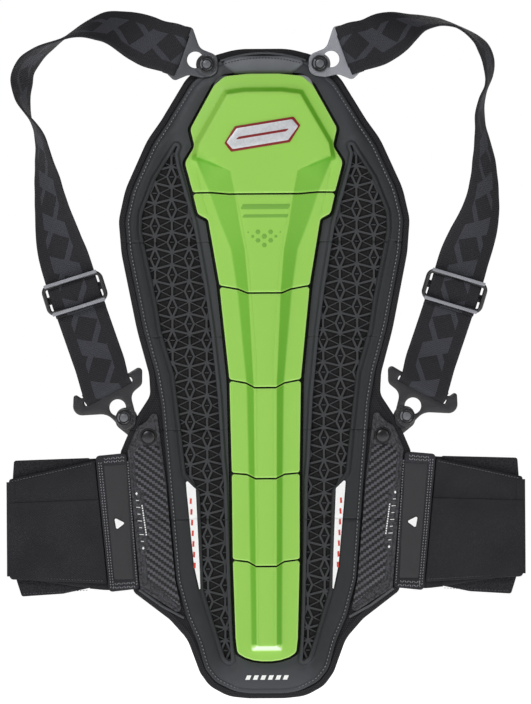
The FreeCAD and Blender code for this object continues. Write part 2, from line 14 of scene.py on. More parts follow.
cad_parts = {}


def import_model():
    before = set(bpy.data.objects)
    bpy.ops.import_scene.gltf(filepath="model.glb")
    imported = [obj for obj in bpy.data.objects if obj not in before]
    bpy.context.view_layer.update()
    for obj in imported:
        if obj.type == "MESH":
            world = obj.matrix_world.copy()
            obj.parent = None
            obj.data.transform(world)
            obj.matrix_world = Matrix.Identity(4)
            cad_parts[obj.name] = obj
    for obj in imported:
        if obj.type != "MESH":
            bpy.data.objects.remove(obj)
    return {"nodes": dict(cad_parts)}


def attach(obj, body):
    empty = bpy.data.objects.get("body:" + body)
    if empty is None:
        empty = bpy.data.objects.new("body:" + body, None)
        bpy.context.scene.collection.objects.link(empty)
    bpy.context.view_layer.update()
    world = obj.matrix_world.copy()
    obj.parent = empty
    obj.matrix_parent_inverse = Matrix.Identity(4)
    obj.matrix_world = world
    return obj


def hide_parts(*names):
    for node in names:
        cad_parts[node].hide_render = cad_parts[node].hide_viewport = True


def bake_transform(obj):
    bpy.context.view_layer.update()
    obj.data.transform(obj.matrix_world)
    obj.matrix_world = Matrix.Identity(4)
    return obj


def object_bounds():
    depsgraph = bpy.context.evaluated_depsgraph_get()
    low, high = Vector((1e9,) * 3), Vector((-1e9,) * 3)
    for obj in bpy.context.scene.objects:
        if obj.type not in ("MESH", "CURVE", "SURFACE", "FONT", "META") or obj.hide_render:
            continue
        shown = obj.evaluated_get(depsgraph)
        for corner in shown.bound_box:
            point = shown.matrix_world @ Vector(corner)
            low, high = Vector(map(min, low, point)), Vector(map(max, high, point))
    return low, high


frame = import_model()
cad_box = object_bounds()

MM = 0.001

# ---- depth levels, as in the CAD model ----
PAD_DEPTH = 9.0
COVER_DEPTH = 12.0
WINDOW_FLOOR = 9.6
GRID_DEPTH = 11.4
FOOT_DEPTH = 24.4
CREST_DEPTH = 30.0
PLATE_WALL = 2.5

# ---- flex lines, and the middle of every segment between two of them ----
SEAMS = [183.8, 109.5, 36.7, -34.4, -101.7]
MIDDLES = [(a + b) / 2 for a, b in zip(SEAMS, SEAMS[1:])]
BEND_HALF = 9.0
SIDES = ((1, "right_"), (-1, "left_"))

# ---- outlines, right half from top to bottom, as (x, z, corner radius) ----
PAD_HALF = [
    (20, 296.6, 60), (40, 291.2, 25), (60, 273.5, 30), (79.8, 241, 60), (90.5, 226, 60),
    (107.7, 187.9, 60), (113, 164, 30), (111, 138, 80), (99.2, 78.3, 200), (90.1, 44.6, 30),
    (89.2, 28, 12), (99, 13, 20), (106.2, -0.8, 30), (112.6, -15.7, 4), (103.2, -124.6, 6),
    (75, -146.2, 25), (61.5, -161.5, 30), (52, -187.5, 20), (44.5, -198, 20), (30, -206, 30),
    (14, -207.7, 60),
]
COVER_HALF = [
    (20, 291.4, 60), (37, 286.6, 25), (56, 270, 30), (75.5, 238.5, 60), (86.5, 222, 60),
    (102.9, 186.5, 60), (108, 164, 30), (106, 139, 80), (94.3, 79, 200), (85.3, 46, 30),
    (81.2, 21.5, 60), (76, -40, 60), (70, -115.5, 40), (62.5, -143, 25), (53.6, -163.3, 60),
    (48, -184, 20), (40, -194.3, 20), (25, -201.8, 30), (14, -203.4, 60),
]
WINDOW = [
    (65.4, 225.5, 1), (84.2, 195.5, 20), (94.6, 169.2, 20), (95.0, 155.1, 20), (83.9, 101.5, 0),
    (80.4, 78.3, 0), (70.5, 44.6, 0), (65.3, -0.8, 0), (62.0, -31.9, 3), (51.2, -46.5, 4),
    (48.6, -123.2, 10), (40.4, -149.8, 10), (32.6, -175.2, 4), (27.7, -179.0, 1),
    (29.9, -137.6, 0), (32.6, -38.0, 0), (34.1, -23.0, 0), (36.7, 25.9, 0), (41.9, 78.3, 0),
    (46.7, 112.8, 0), (55.1, 161.7, 0), (67.7, 205.8, 6), (69.2, 215.2, 4),
]
FRAME_HALF = [
    (20, 292, 0), (48, 284, 0), (66, 250, 0), (74, 216, 0), (72, 205, 0), (62, 162, 0),
    (53, 113, 0), (48, 78, 0), (42, 26, 0), (39, -38, 0), (36, -137, 0), (33, -172, 0),
    (38, -186, 0), (20, -206, 0),
]

# ---- vent lattice ----
LATTICE_COLUMN = 13.2
LATTICE_PERIOD = 25.35
LATTICE_START = (5.6, 7.3)
RHOMBUS_HALF_WIDTH = 3.5
RHOMBUS_HALF_HEIGHT = 8.0
RIB = 1.55
NODE_WIDTH = 2.6
FIN = 0.8

# ---- plates: seams, sides, crest and foot of the raised spine, right half ----
PLATE_SEAMS = [
    [(55.0, 184.5), (41.0, 184.5), (27.0, 183.1)],
    [(34.8, 112.4), (20.2, 109.7), (13.2, 106.7)],
    [(27.6, 39.7), (14.7, 37.2), (8.1, 33.7)],
    [(26.2, -32.4), (14.7, -33.3), (7.8, -36.4)],
    [(25.8, -99.4), (14.0, -100.8), (7.8, -104.1)],
]
PLATE_SIDES = [
    [(12, 276.2), (30, 274.4), (38.2, 267.4), (56.7, 234.0), (53.4, 220.3), (61.1, 208.0)],
    [(51.3, 168.3), (43.4, 164.0)],
    [],
    [],
    [],
    [(24.0, -160.0), (22.7, -171.2), (17.0, -174.6), (10.5, -176.7), (4.0, -177.6)],
]
PLATE_CORNER = {0: 7.0, 1: 4.0, 5: 5.0}
CREST_HALF = [
    (14, 261.6), (28.1, 259.8), (49.9, 222.0), (51.6, 211.6), (29.8, 203.5), (25.6, 201.0),
    (22.2, 183.4), (18.6, 159.7), (14.7, 140.3), (12.0, 107.0), (8.6, 36.0), (8.2, -36.0),
    (7.4, -165.1),
]
FOOT_HALF = [
    (15, 265.4), (30.4, 263.4), (53.6, 223.0), (55.6, 209.8), (51.9, 208.6), (41.9, 184.5),
    (34.1, 162.0), (25.6, 140.3), (20.8, 107.0), (14.2, 36.0), (13.0, -36.0), (11.6, -169.4),
]
PLATE_GAP = 1.3
SHADED_GROOVE_WIDTH = 1.9


# ======== plane geometry ========
def rounded(corners, step=1.5):
    """Closed line through (x, z, radius) corners, each rounded by a tangent arc."""
    line = []
    count = len(corners)
    for index, corner in enumerate(corners):
        here = Vector(corner[:2])
        radius = corner[2] if len(corner) > 2 else 0.0
        before = Vector(corners[index - 1][:2]) - here
        after = Vector(corners[(index + 1) % count][:2]) - here
        angle = before.angle(after)
        if radius <= 0 or angle > math.radians(179.3):
            line.append(tuple(here))
            continue
        setback = min(radius / math.tan(angle / 2), 0.49 * min(before.length, after.length))
        radius = setback * math.tan(angle / 2)
        middle = (before.normalized() + after.normalized()).normalized()
        centre = here + middle * (radius / math.sin(angle / 2))
        start = here + before.normalized() * setback - centre
        end = here + after.normalized() * setback - centre
        first = math.atan2(start.y, start.x)
        sweep = (math.atan2(end.y, end.x) - first + math.pi) % (2 * math.pi) - math.pi
        pieces = max(2, math.ceil(abs(sweep) * radius / step), math.ceil(abs(sweep) / 0.35))
        for k in range(pieces + 1):
            turn = first + sweep * k / pieces
            line.append((centre.x + radius * math.cos(turn), centre.y + radius * math.sin(turn)))
    return np.array(line)


def spaced(line, step, closed=True):
    """The line with points added, so that no two neighbours are further apart than `step`."""
    line = np.asarray(line, float)
    ends = np.roll(line, -1, axis=0) if closed else line[1:]
    out = []
    for start, end in zip(line, ends):
        pieces = max(1, math.ceil(np.linalg.norm(end - start) / step))
        out.extend(start + (end - start) * k / pieces for k in range(pieces))
    if not closed:
        out.append(line[-1])
    return np.array(out)


def mirror(corners):
    return [(-c[0],) + tuple(c[1:]) for c in reversed(corners)]


def both(half):
    """Closed outline from its right half."""
    return list(half) + mirror(half)


def flip(loop, side):
    """The loop on the right side, or its mirror image on the left."""
    loop = np.asarray(loop, float)
    return loop if side > 0 else loop[::-1] * (-1, 1)


def shifted(corners, x, z):
    """Small outline given about its own middle, moved to its place."""
    return [(x + a, z + b) for a, b in corners]


def contour(corners, step=3.0, side=1, arc=1.5):
    """Closed line round the corners, with points at most `step` apart, on its own side."""
    return flip(spaced(rounded(corners, arc), step), side)


def inset(loop, distance):
    """Closed line moved inwards by `distance`, or outwards where that is negative."""
    before, after = np.roll(loop, 1, axis=0), np.roll(loop, -1, axis=0)
    along = after - before
    along /= np.maximum(np.linalg.norm(along, axis=1, keepdims=True), 1e-9)
    area = np.sum(before[:, 0] * loop[:, 1] - loop[:, 0] * before[:, 1])
    return loop + np.stack([-along[:, 1], along[:, 0]], axis=1) * distance * np.sign(area)


def segments(lines):
    """Start and end points of all segments of (line, closed) pairs."""
    starts, ends = [], []
    for line, closed in lines:
        line = np.asarray(line, float)
        starts.append(line if closed else line[:-1])
        ends.append(np.roll(line, -1, axis=0) if closed else line[1:])
    return np.concatenate(starts), np.concatenate(ends)


def distance(points, lines):
    """Distance of every point from the nearest of the (line, closed) pairs."""
    starts, ends = segments(lines)
    run = ends - starts
    length = np.maximum((run ** 2).sum(1), 1e-12)
    out = np.empty(len(points))
    for first in range(0, len(points), 1000):
        block = points[first:first + 1000, None, :] - starts[None]
        along = np.clip((block * run).sum(2) / length, 0, 1)
        out[first:first + 1000] = np.sqrt(((block - along[..., None] * run) ** 2).sum(2).min(1))
    return out


def inside(points, loops):
    """True where a point is inside an odd number of the closed loops."""
    starts, ends = segments([(loop, True) for loop in loops])
    out = np.zeros(len(points), bool)
    for first in range(0, len(points), 2000):
        block = points[first:first + 2000, None, :]
        spans = (starts[None, :, 1] > block[..., 1]) != (ends[None, :, 1] > block[..., 1])
        rise = np.where(ends[:, 1] == starts[:, 1], 1e-12, ends[:, 1] - starts[:, 1])
        cross = starts[:, 0] + (block[..., 1] - starts[:, 1]) * (ends - starts)[:, 0] / rise
        out[first:first + 2000] = (spans & (block[..., 0] < cross)).sum(1) % 2 == 1
    return out


def signed(points, loop):
    """Distance from a closed loop, positive inside it."""
    return distance(points, [(loop, True)]) * np.where(inside(points, [loop]), 1, -1)


def smooth(value, low, high):
    t = np.clip((value - low) / (high - low), 0, 1)
    return t * t * (3 - 2 * t)


def fillet(rim, radius):
    """How far a rounded edge falls below its flat at a distance from the rim."""
    t = radius - np.clip(rim, 0, radius)
    return radius - np.sqrt(np.maximum(radius ** 2 - t ** 2, 0))


def bump(offset, half_width):
    return np.clip(1 - (offset / half_width) ** 2, 0, 1)


def circle(centre, radius, count=40):
    turns = [2 * math.pi * k / count for k in range(count)]
    return np.array([(centre[0] + radius * math.cos(t), centre[1] + radius * math.sin(t))
                     for t in turns])


def world(points, depth):
    """Array of (x, z) points and depths, in metres in the shared frame."""
    return np.column_stack([points[:, 0], -np.asarray(depth) * np.ones(len(points)),
                            points[:, 1]]) * MM


# ======== mesh building ========
def new_object(name, verts, faces, finish=None, sharp=35.0):
    mesh = bpy.data.meshes.new(name)
    mesh.from_pydata([tuple(v) for v in verts], [], faces)
    mesh.update()
    mesh.polygons.foreach_set("use_smooth", [True] * len(mesh.polygons))
    if sharp:
        mesh.set_sharp_from_angle(angle=math.radians(sharp))
    piece = bpy.data.objects.new(name, mesh)
    bpy.context.scene.collection.objects.link(piece)
    if finish:
        mesh.materials.append(finish)
    return piece


def relief(name, loops, front, back, finish, rings=(), lines=(), fill=5.0, contains=None,
           place=None, sharp=35.0):
    """Closed solid over the area inside the loops, between the depths `front` and `back`.

    Both are functions of the (x, z) points and their distance from the rim.  The rings follow
    the rim at the given distances, and the lines are edges of the mesh too.
    """
    points, edges, drawn = [], [], []

    def draw(line, closed):
        start = len(points)
        points.extend(Vector(p) for p in line)
        count = len(line)
        edges.extend((start + k, start + (k + 1) % count)
                     for k in range(count if closed else count - 1))
        drawn.append((line, closed))

    loops = [np.asarray(loop, float) for loop in loops]
    for index, loop in enumerate(loops):
        draw(loop, True)
        for gap in rings:
            draw(inset(loop, gap if index == 0 else -gap), True)
    for line, closed in lines:
        draw(np.asarray(line, float), closed)
    if fill:
        low, high = loops[0].min(0), loops[0].max(0)
        rows = int((high[1] - low[1]) / (fill * 0.866)) + 1
        columns = int((high[0] - low[0]) / fill) + 2
        net = np.array([(low[0] + (c + 0.5 * (r % 2)) * fill, low[1] + (r + 0.5) * fill * 0.866)
                        for r in range(rows) for c in range(columns)])
        net = net[inside(net, loops)]
        if len(net):
            net = net[distance(net, drawn) > 0.5 * fill]
        points.extend(Vector(p) for p in net)
    flat, _, faces, *_ = geometry.delaunay_2d_cdt(points, edges, [], 0, 1e-5)
    flat = np.array([v[:] for v in flat])
    faces = np.array(faces)
    centres = flat[faces].mean(1)
    faces = faces[contains(centres) if contains else inside(centres, loops)]
    used, faces = np.unique(faces, return_inverse=True)
    faces = faces.reshape(-1, 3)
    flat = flat[used]
    rim = distance(flat, [(loop, True) for loop in loops])
    top, low = front(flat, rim), back(flat, rim)
    if place:
        x, z, turn = place
        cos, sin = math.cos(turn), math.sin(turn)
        flat = np.column_stack([x + flat[:, 0] * cos - flat[:, 1] * sin,
                                z + flat[:, 0] * sin + flat[:, 1] * cos])
    count = len(flat)
    verts = np.concatenate([world(flat, top), world(flat, low)])
    directed = {}
    for a, b, c in faces:
        for edge in ((a, b), (b, c), (c, a)):
            directed[edge] = True
    walls = [(b, a, a + count, b + count) for a, b in directed if (b, a) not in directed]
    solid = [tuple(f) for f in faces] + [tuple(f[::-1] + count) for f in faces] + walls
    solid = [tuple(int(i) for i in f) for f in solid]
    return new_object(name, verts, solid, finish, sharp)


def level(depth):
    return lambda points, rim: np.full(len(points), float(depth))


def pillow(depth, radius):
    """Flat face at a depth, with a rounded rim."""
    return lambda points, rim: depth - fillet(rim, radius)


def inlay(name, loop, top, low, finish):
    """Flat print or inlay between two depths."""
    return relief(name, [np.asarray(loop)], level(top), level(low), finish, fill=None)


def joined(name, pieces):
    """One object from several, with their meshes and materials."""
    verts, faces, indices, materials = [], [], [], []
    for piece in pieces:
        start = len(verts)
        mesh = piece.data
        for material in mesh.materials:
            if material not in materials:
                materials.append(material)
        verts.extend(v.co[:] for v in mesh.vertices)
        for polygon in mesh.polygons:
            faces.append(tuple(start + i for i in polygon.vertices))
            indices.append(materials.index(mesh.materials[polygon.material_index]))
        bpy.data.objects.remove(piece)
    piece = new_object(name, verts, faces)
    for material in materials:
        piece.data.materials.append(material)
    piece.data.polygons.foreach_set("material_index", indices)
    return piece


def skinned(name, verts, size, finish, sharp=50):
    """Closed skin over rings of `size` points each, with a cap at both ends."""
    last = len(verts) - size
    faces = [tuple(range(size)), tuple(last + k for k in reversed(range(size)))]
    for start in range(0, last, size):
        for k in range(size):
            n = (k + 1) % size
            faces.append((start + k, start + n, start + size + n, start + size + k))
    piece = new_object(name, verts, faces, finish, sharp)
    outward(piece)
    return piece


def tube(name, path, radius, finish, sides=8):
    """Round tube along a list of world points in millimetres (x, depth, z), closed at its ends."""
    path = np.asarray(path, float)
    tangents = np.gradient(path, axis=0)
    tangents /= np.linalg.norm(tangents, axis=1, keepdims=True)
    verts = []
    side = np.cross(tangents[0], (0, 1, 0))
    for centre, tangent in zip(path, tangents):
        side = side - tangent * np.dot(side, tangent)
        side /= np.linalg.norm(side)
        other = np.cross(tangent, side)
        for k in range(sides):
            turn = 2 * math.pi * k / sides
            x, d, z = centre + (side * math.cos(turn) + other * math.sin(turn)) * radius
            verts.append((x * MM, -d * MM, z * MM))
    return skinned(name, verts, sides, finish)


def shade(piece, function):
    """Gives every vertex a value of colour and painted light for its material, from a function of the (x,
    z) points.
    """
    spots = np.array([v.co[:] for v in piece.data.vertices]) / MM
    tone_and_painted_light = piece.data.attributes.new("tone_and_painted_light", "FLOAT", "POINT")
    tone_and_painted_light.data.foreach_set("value", function(spots[:, [0, 2]]))


def outward(piece):
    bm = bmesh.new()
    bm.from_mesh(piece.data)
    bmesh.ops.recalc_face_normals(bm, faces=bm.faces)
    bm.to_mesh(piece.data)
    bm.free()


def stitches(name, lines, finish, depth, pitch=2.6, length=1.7, width=0.6, height=0.35, slant=0.0):
    """Rows of thread stitches along (x, z) lines that lie on a face at `depth`."""
    verts, faces = [], []
    half = [(-0.5, 0), (-0.3, 0.5), (0.3, 0.5), (0.5, 0), (0.3, -0.5), (-0.3, -0.5)]
    for line in lines:
        line = spaced(line, 0.5, closed=False)
        steps = np.linalg.norm(np.diff(line, axis=0), axis=1)
        run = np.concatenate([[0], np.cumsum(steps)])
        for k in range(int(run[-1] / pitch)):
            at = (k + 0.5) * pitch
            x, z = np.interp(at, run, line[:, 0]), np.interp(at, run, line[:, 1])
            ahead = np.array([np.interp(at + 0.4, run, line[:, 0]) - x,
                              np.interp(at + 0.4, run, line[:, 1]) - z])
            angle = math.atan2(ahead[1], ahead[0]) + slant * (1 if k % 2 else -1)
            cos, sin = math.cos(angle), math.sin(angle)
            seat = depth(np.array([(x, z)]))[0] if callable(depth) else depth
            start = len(verts)
            for long, wide, foot in ((1.0, 1.0, True), (0.8, 0.55, False)):
                for a, b in half:
                    u, v = a * length * long, b * width * wide
                    top = seat - 0.3 if foot else seat + height * (1 - abs(a) * 1.2)
                    verts.append(((x + u * cos - v * sin) * MM, -top * MM,
                                  (z + u * sin + v * cos) * MM))
            for e in range(6):
                n = (e + 1) % 6
                faces.append((start + e, start + n, start + 6 + n, start + 6 + e))
            faces.append(tuple(start + e for e in reversed(range(6))))
            faces.append(tuple(start + 6 + e for e in range(6)))
    piece = new_object(name, verts, faces, finish, 60)
    outward(piece)
    return piece


def lathe(name, centre, profile, finish, count=40):
    """Turned piece about an axis along the depth, from a profile of (radius, depth)."""
    verts = []
    for radius, depth in profile:
        for k in range(count):
            turn = 2 * math.pi * k / count
            verts.append(((centre[0] + radius * math.cos(turn)) * MM, -depth * MM,
                          (centre[1] + radius * math.sin(turn)) * MM))
    return skinned(name, verts, count, finish, 40)


# ======== riding on the bodies ========
def cut(piece, name, low, high):
    """Copy of a piece between two heights, closed where it is cut.  None where nothing is left."""
    bm = bmesh.new()
    bm.from_mesh(piece.data)
    for height, normal in ((low, (0, 0, -1)), (high, (0, 0, 1))):
        if height is None:
            continue
        parts = bm.verts[:] + bm.edges[:] + bm.faces[:]
        out = bmesh.ops.bisect_plane(bm, geom=parts, plane_co=(0, 0, height * MM),
                                     plane_no=normal, clear_outer=True, dist=1e-8)
        rim = [e for e in out["geom_cut"] if isinstance(e, bmesh.types.BMEdge) and e.is_valid]
        if rim:
            bmesh.ops.holes_fill(bm, edges=rim, sides=0)
    if not bm.faces:
        bm.free()
        return None
    mesh = bpy.data.meshes.new(name)
    bm.to_mesh(mesh)
    bm.free()
    for material in piece.data.materials:
        mesh.materials.append(material)
    chunk = bpy.data.objects.new(name, mesh)
    bpy.context.scene.collection.objects.link(chunk)
    return chunk


def along_spine(piece, family=None, nodes=None):
    """Cuts a piece of the board at the middles of the segments, into one part about each seam.

    `family` is the CAD node of a segment with %d for its number, or `nodes` gives the names of
    the CAD nodes that the part at a seam stands for.
    """
    heights = np.array([v.co.z for v in piece.data.vertices]) / MM
    limits = [None] + MIDDLES + [None]
    for k, seam in enumerate(SEAMS):
        high, low = limits[k], limits[k + 1]
        if (high is not None and heights.min() > high - 0.5) or (
                low is not None and heights.max() < low + 0.5):
            continue
        if k > 0 and heights.min() > SEAMS[k] + BEND_HALF and heights.min() > limits[k]:
            continue
        chunk = cut(piece, "%s_%d" % (piece.name, k + 1), low, high)
        if chunk is None:
            continue
        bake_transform(chunk)
        if family:
            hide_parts(*[family % n for n in ([5, 6] if k == 4 else [k + 1])])
        if nodes and nodes(k + 1):
            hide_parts(*nodes(k + 1))
    bpy.data.objects.remove(piece)


def on_body(piece, body, slot, *nodes):
    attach(piece, body)
    if nodes:
        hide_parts(*nodes)
    return piece


# ======== materials ========
def linear(colour):
    """Linear colour from red, green and blue in the 0 to 255 range of a screen."""
    part = [c / 255 for c in colour]
    return tuple(c / 12.92 if c < 0.04045 else ((c + 0.055) / 1.055) ** 2.4 for c in part) + (1,)


def times(colour, factor):
    """Lighter or darker shade of a colour."""
    return tuple(factor * c for c in colour)


class Finish:
    """A node material, with short ways to add patterns to its principled shader."""

    def __init__(self, name, colour, roughness=0.5, metallic=0.0, **sockets):
        self.material = bpy.data.materials.new(name)
        self.material.use_nodes = True
        self.tree = self.material.node_tree
        self.shader = self.tree.nodes["Principled BSDF"]
        self.shader.inputs["Base Color"].default_value = linear(colour)
        self.shader.inputs["Roughness"].default_value = roughness
        self.shader.inputs["Metallic"].default_value = metallic
        for socket, value in sockets.items():
            self.shader.inputs[socket.replace("_", " ")].default_value = value
        self.colour = linear(colour)
        self.height = None
        self.object = self.node("TexCoord").outputs["Object"]

    def node(self, kind, *values, **settings):
        made = self.tree.nodes.new("ShaderNode" + kind)
        for setting, value in settings.items():
            setattr(made, setting, value)
        for index, value in enumerate(values):
            self.put(made.inputs[index], value)
        return made

    def put(self, socket, value):
        if isinstance(value, bpy.types.NodeSocket):
            self.tree.links.new(value, socket)
        elif value is not None:
            socket.default_value = value

    def math(self, operation, *values):
        return self.node("Math", *values, operation=operation).outputs[0]

    def noise(self, scale, detail=2.0, where=None):
        made = self.node("TexNoise", where or self.object)
        made.inputs["Scale"].default_value = scale
        made.inputs["Detail"].default_value = detail
        return made.outputs[0]

    def cells(self, scale, feature="F1", where=None):
        made = self.node("TexVoronoi", where or self.object, feature=feature)
        made.inputs["Scale"].default_value = scale
        return made.outputs[0]

    def axes(self, where=None):
        return self.node("SeparateXYZ", where or self.object).outputs

    def range(self, value, low, high, new_low=0.0, new_high=1.0):
        return self.node("MapRange", value, low, high, new_low, new_high).outputs[0]

    def mix(self, factor, first, second):
        made = self.node("Mix", factor, data_type="RGBA")
        for index, colour in ((6, first), (7, second)):
            self.put(made.inputs[index], colour)
        return made.outputs[2]

    def paint(self, factor, colour, share=None):
        """Turns the base colour, or a share of it, towards another where the factor is 1."""
        if share is not None:
            factor = self.math("MULTIPLY", factor, share)
        self.colour = self.mix(factor, self.colour, linear(colour))
        self.put(self.shader.inputs["Base Color"], self.colour)
        return self

    def gloss(self, factor, low, high):
        self.put(self.shader.inputs["Roughness"], self.range(factor, 0, 1, low, high))
        return self

    def emboss(self, height, strength=0.3, reach=0.0003):
        made = self.node("Bump")
        made.inputs["Strength"].default_value = strength
        made.inputs["Distance"].default_value = reach
        self.put(made.inputs["Height"], height)
        if self.height:
            self.put(made.inputs["Normal"], self.height)
        self.height = made.outputs[0]
        self.put(self.shader.inputs["Normal"], self.height)
        return self

    def wave(self, coordinate, pitch, phase=0.0):
        """0 to 1 wave of a coordinate in metres, with its pitch in metres."""
        turn = self.math("MULTIPLY_ADD", coordinate, 2 * math.pi / pitch, phase)
        return self.math("MULTIPLY_ADD", self.math("SINE", turn), 0.5, 0.5)


def plate_finish():
    f = Finish("lime_plate", (148, 203, 82), 0.46, Specular_IOR_Level=0.4)
    tone_and_painted_light = f.node("Attribute", attribute_name="tone_and_painted_light").outputs["Fac"]
    f.paint(f.range(f.noise(14, 3), 0.35, 0.7, 0, 0.35), (155, 208, 88))
    # painted shade on the slopes of the spine
    f.paint(f.range(tone_and_painted_light, 0, 1), (98, 172, 30))
    # painted highlight on the plates' rounded rims and on the bevel at the spine's foot
    f.paint(f.range(tone_and_painted_light, 0, -1), (190, 236, 128))
    # painted glint, lighter still, on that bevel
    f.paint(f.range(tone_and_painted_light, -1.1, -2), (232, 246, 222))
    f.paint(f.range(f.noise(900, 2), 0.62, 0.8, 0, 0.25), (170, 220, 108))
    f.gloss(f.noise(60, 4), 0.38, 0.56)
    f.emboss(f.noise(2400, 2), 0.10, 0.0002).emboss(f.noise(70, 2), 0.05, 0.001)
    return f.material


def print_finish(name, colour, roughness=0.55):
    f = Finish(name, colour, roughness)
    f.paint(f.range(f.noise(1500, 2), 0.55, 0.75, 0, 0.25), times(colour, 0.82))
    f.emboss(f.noise(3000, 2), 0.15)
    return f.material


def cover_finish():
    f = Finish("coated_cover", (30, 32, 35), 0.5, Specular_IOR_Level=0.4)
    tone_and_painted_light = f.node("Attribute", attribute_name="tone_and_painted_light").outputs["Fac"]
    # lighter inner frame, and painted light towards the foot of the board
    f.paint(tone_and_painted_light, (60, 62, 67))
    f.paint(f.range(f.noise(35, 4), 0.3, 0.75, 0, 0.2), (50, 51, 55))
    f.gloss(f.noise(220, 3), 0.42, 0.62)
    f.emboss(f.cells(1500), 0.12, 0.0002).emboss(f.noise(3200, 2), 0.12, 0.0002)
    return f.material


def pad_finish():
    f = Finish("pad_textile", (24, 24, 26), 0.85, Specular_IOR_Level=0.3)
    x, _, z = f.axes()
    skew = f.math("MULTIPLY_ADD", z, 0.5, x)
    weave = f.math("MULTIPLY", f.wave(skew, 0.0016), f.wave(z, 0.0014))
    f.paint(weave, (56, 56, 60))
    f.paint(f.range(f.noise(40, 3), 0.4, 0.7, 0, 0.3), (34, 34, 37))
    f.emboss(weave, 0.5, 0.0004).emboss(f.noise(1800, 2), 0.2, 0.0002)
    return f.material


def rubber_finish(name, colour, roughness=0.6):
    f = Finish(name, colour, roughness)
    f.paint(f.range(f.noise(90, 3), 0.35, 0.7, 0, 0.4), times(colour, 1.15))
    f.gloss(f.noise(400, 2), roughness - 0.08, roughness + 0.1)
    f.emboss(f.noise(2600, 2), 0.2, 0.0002)
    return f.material


def floor_mesh_finish():
    f = Finish("window_mesh", (10, 10, 11), 0.9)
    x, _, z = f.axes()
    net = f.math("MULTIPLY", f.wave(x, 0.0013), f.wave(z, 0.0013))
    f.paint(net, (26, 25, 24)).emboss(net, 0.4, 0.0003)
    return f.material


# the webbing's pattern in metres: across from its middle line, and along it
WEB_MARGIN, MOTIF_REACH = 0.0172, 0.0105
MOTIF_REPEAT, BAR_RUN, CROSS_RUN = 0.034, 0.0135, 0.0075
WEFT_PITCH, WARP_PITCH = 0.0014, 0.0019


def webbing_finish():
    """Ribbed webbing with a woven pattern of crossing bars and plain margins."""
    f = Finish("strap_webbing", (30, 30, 34), 0.75, Specular_IOR_Level=0.3)
    along = f.node("Attribute", attribute_name="strap_uv").outputs["Vector"]
    u, v, _ = f.axes(along)
    edge = f.math("GREATER_THAN", f.math("ABSOLUTE", u), WEB_MARGIN)
    slant = f.math("MULTIPLY_ADD", u, 0.55, v)
    bar = f.math("LESS_THAN", f.math("FLOORED_MODULO", slant, MOTIF_REPEAT), BAR_RUN)
    counter = f.math("MULTIPLY_ADD", u, -1.5, v)
    cross = f.math("LESS_THAN", f.math("FLOORED_MODULO", counter, MOTIF_REPEAT), CROSS_RUN)
    middle = f.math("LESS_THAN", f.math("ABSOLUTE", u), MOTIF_REACH)
    motif = f.math("MULTIPLY", f.math("MAXIMUM", bar, cross), middle)
    f.paint(motif, (62, 63, 70), 0.9)
    f.paint(edge, (44, 44, 49), 0.35)
    weft = f.wave(v, WEFT_PITCH)
    warp = f.wave(u, WARP_PITCH)
    f.paint(weft, (48, 48, 53), 0.35)
    f.paint(f.range(f.noise(1300, 2), 0.5, 0.8), (20, 20, 23), 0.4)
    f.emboss(f.math("MAXIMUM", weft, f.math("MULTIPLY", warp, 0.6)), 0.55, 0.0004)
    f.emboss(f.noise(2400, 2), 0.25, 0.0002)
    return f.material


# the carbon twill in metres: width of a tow, its step from column to column, period and length
TOW_WIDTH, TOW_STEP, TOW_PERIOD, TOW_HEIGHT = 0.00215, 0.00155, 0.0054, 0.0024


def carbon_finish():
    f = Finish("carbon_twill", (12, 12, 14), 0.34, Specular_IOR_Level=0.4)
    x, _, z = f.axes()
    column = f.math("FLOOR", f.math("MULTIPLY", f.math("ABSOLUTE", x), 1 / TOW_WIDTH))
    stepped = f.math("MULTIPLY_ADD", column, -TOW_STEP, z)
    tow = f.math("LESS_THAN", f.math("FLOORED_MODULO", stepped, TOW_PERIOD), TOW_HEIGHT)
    f.paint(tow, (84, 84, 91))
    f.paint(f.range(f.noise(120, 3), 0.5, 0.75), (40, 40, 43), 0.3)
    thread = f.wave(f.math("ADD", x, z), 0.0004)
    f.paint(thread, (10, 10, 11), 0.15)
    f.emboss(tow, 0.35, 0.0003).emboss(thread, 0.15, 0.0001)
    return f.material


def felt_finish(name, colour):
    f = Finish(name, colour, 0.9, Specular_IOR_Level=0.3)
    f.paint(f.range(f.noise(420, 4), 0.4, 0.62), times(colour, 0.62))
    f.paint(f.range(f.noise(900, 3), 0.5, 0.8), times(colour, 1.3))
    f.emboss(f.noise(650, 4), 0.6, 0.0005)
    return f.material


def belt_finish(name, colour, pitch=0.0019, lean=1.6):
    f = Finish(name, colour, 0.85, Specular_IOR_Level=0.25)
    x, _, z = f.axes()
    twill = f.wave(f.math("MULTIPLY_ADD", f.math("ABSOLUTE", x), lean, z), pitch)
    f.paint(twill, times(colour, 2.0), 0.8)
    f.paint(f.range(f.noise(1700, 2), 0.56, 0.72, 0, 0.6), times(colour, 2.6))
    f.paint(f.range(f.noise(30, 4), 0.4, 0.7), times(colour, 0.7), 0.4)
    f.emboss(twill, 0.4, 0.0003).emboss(f.noise(1500, 3), 0.3, 0.0003)
    return f.material


def hook_finish():
    f = Finish("hook_patch", (24, 24, 27), 0.9, Specular_IOR_Level=0.25)
    loops = f.cells(900)
    f.paint(f.range(loops, 0.2, 0.6), (44, 44, 48)).emboss(loops, 0.8, 0.0005)
    return f.material


def plastic_finish(name, colour, roughness=0.34):
    f = Finish(name, colour, roughness, Specular_IOR_Level=0.55)
    f.paint(f.range(f.noise(60, 3), 0.4, 0.7, 0, 0.35), times(colour, 1.2))
    f.gloss(f.noise(300, 3), roughness - 0.06, roughness + 0.1)
    f.emboss(f.noise(2000, 2), 0.12, 0.0002)
    return f.material


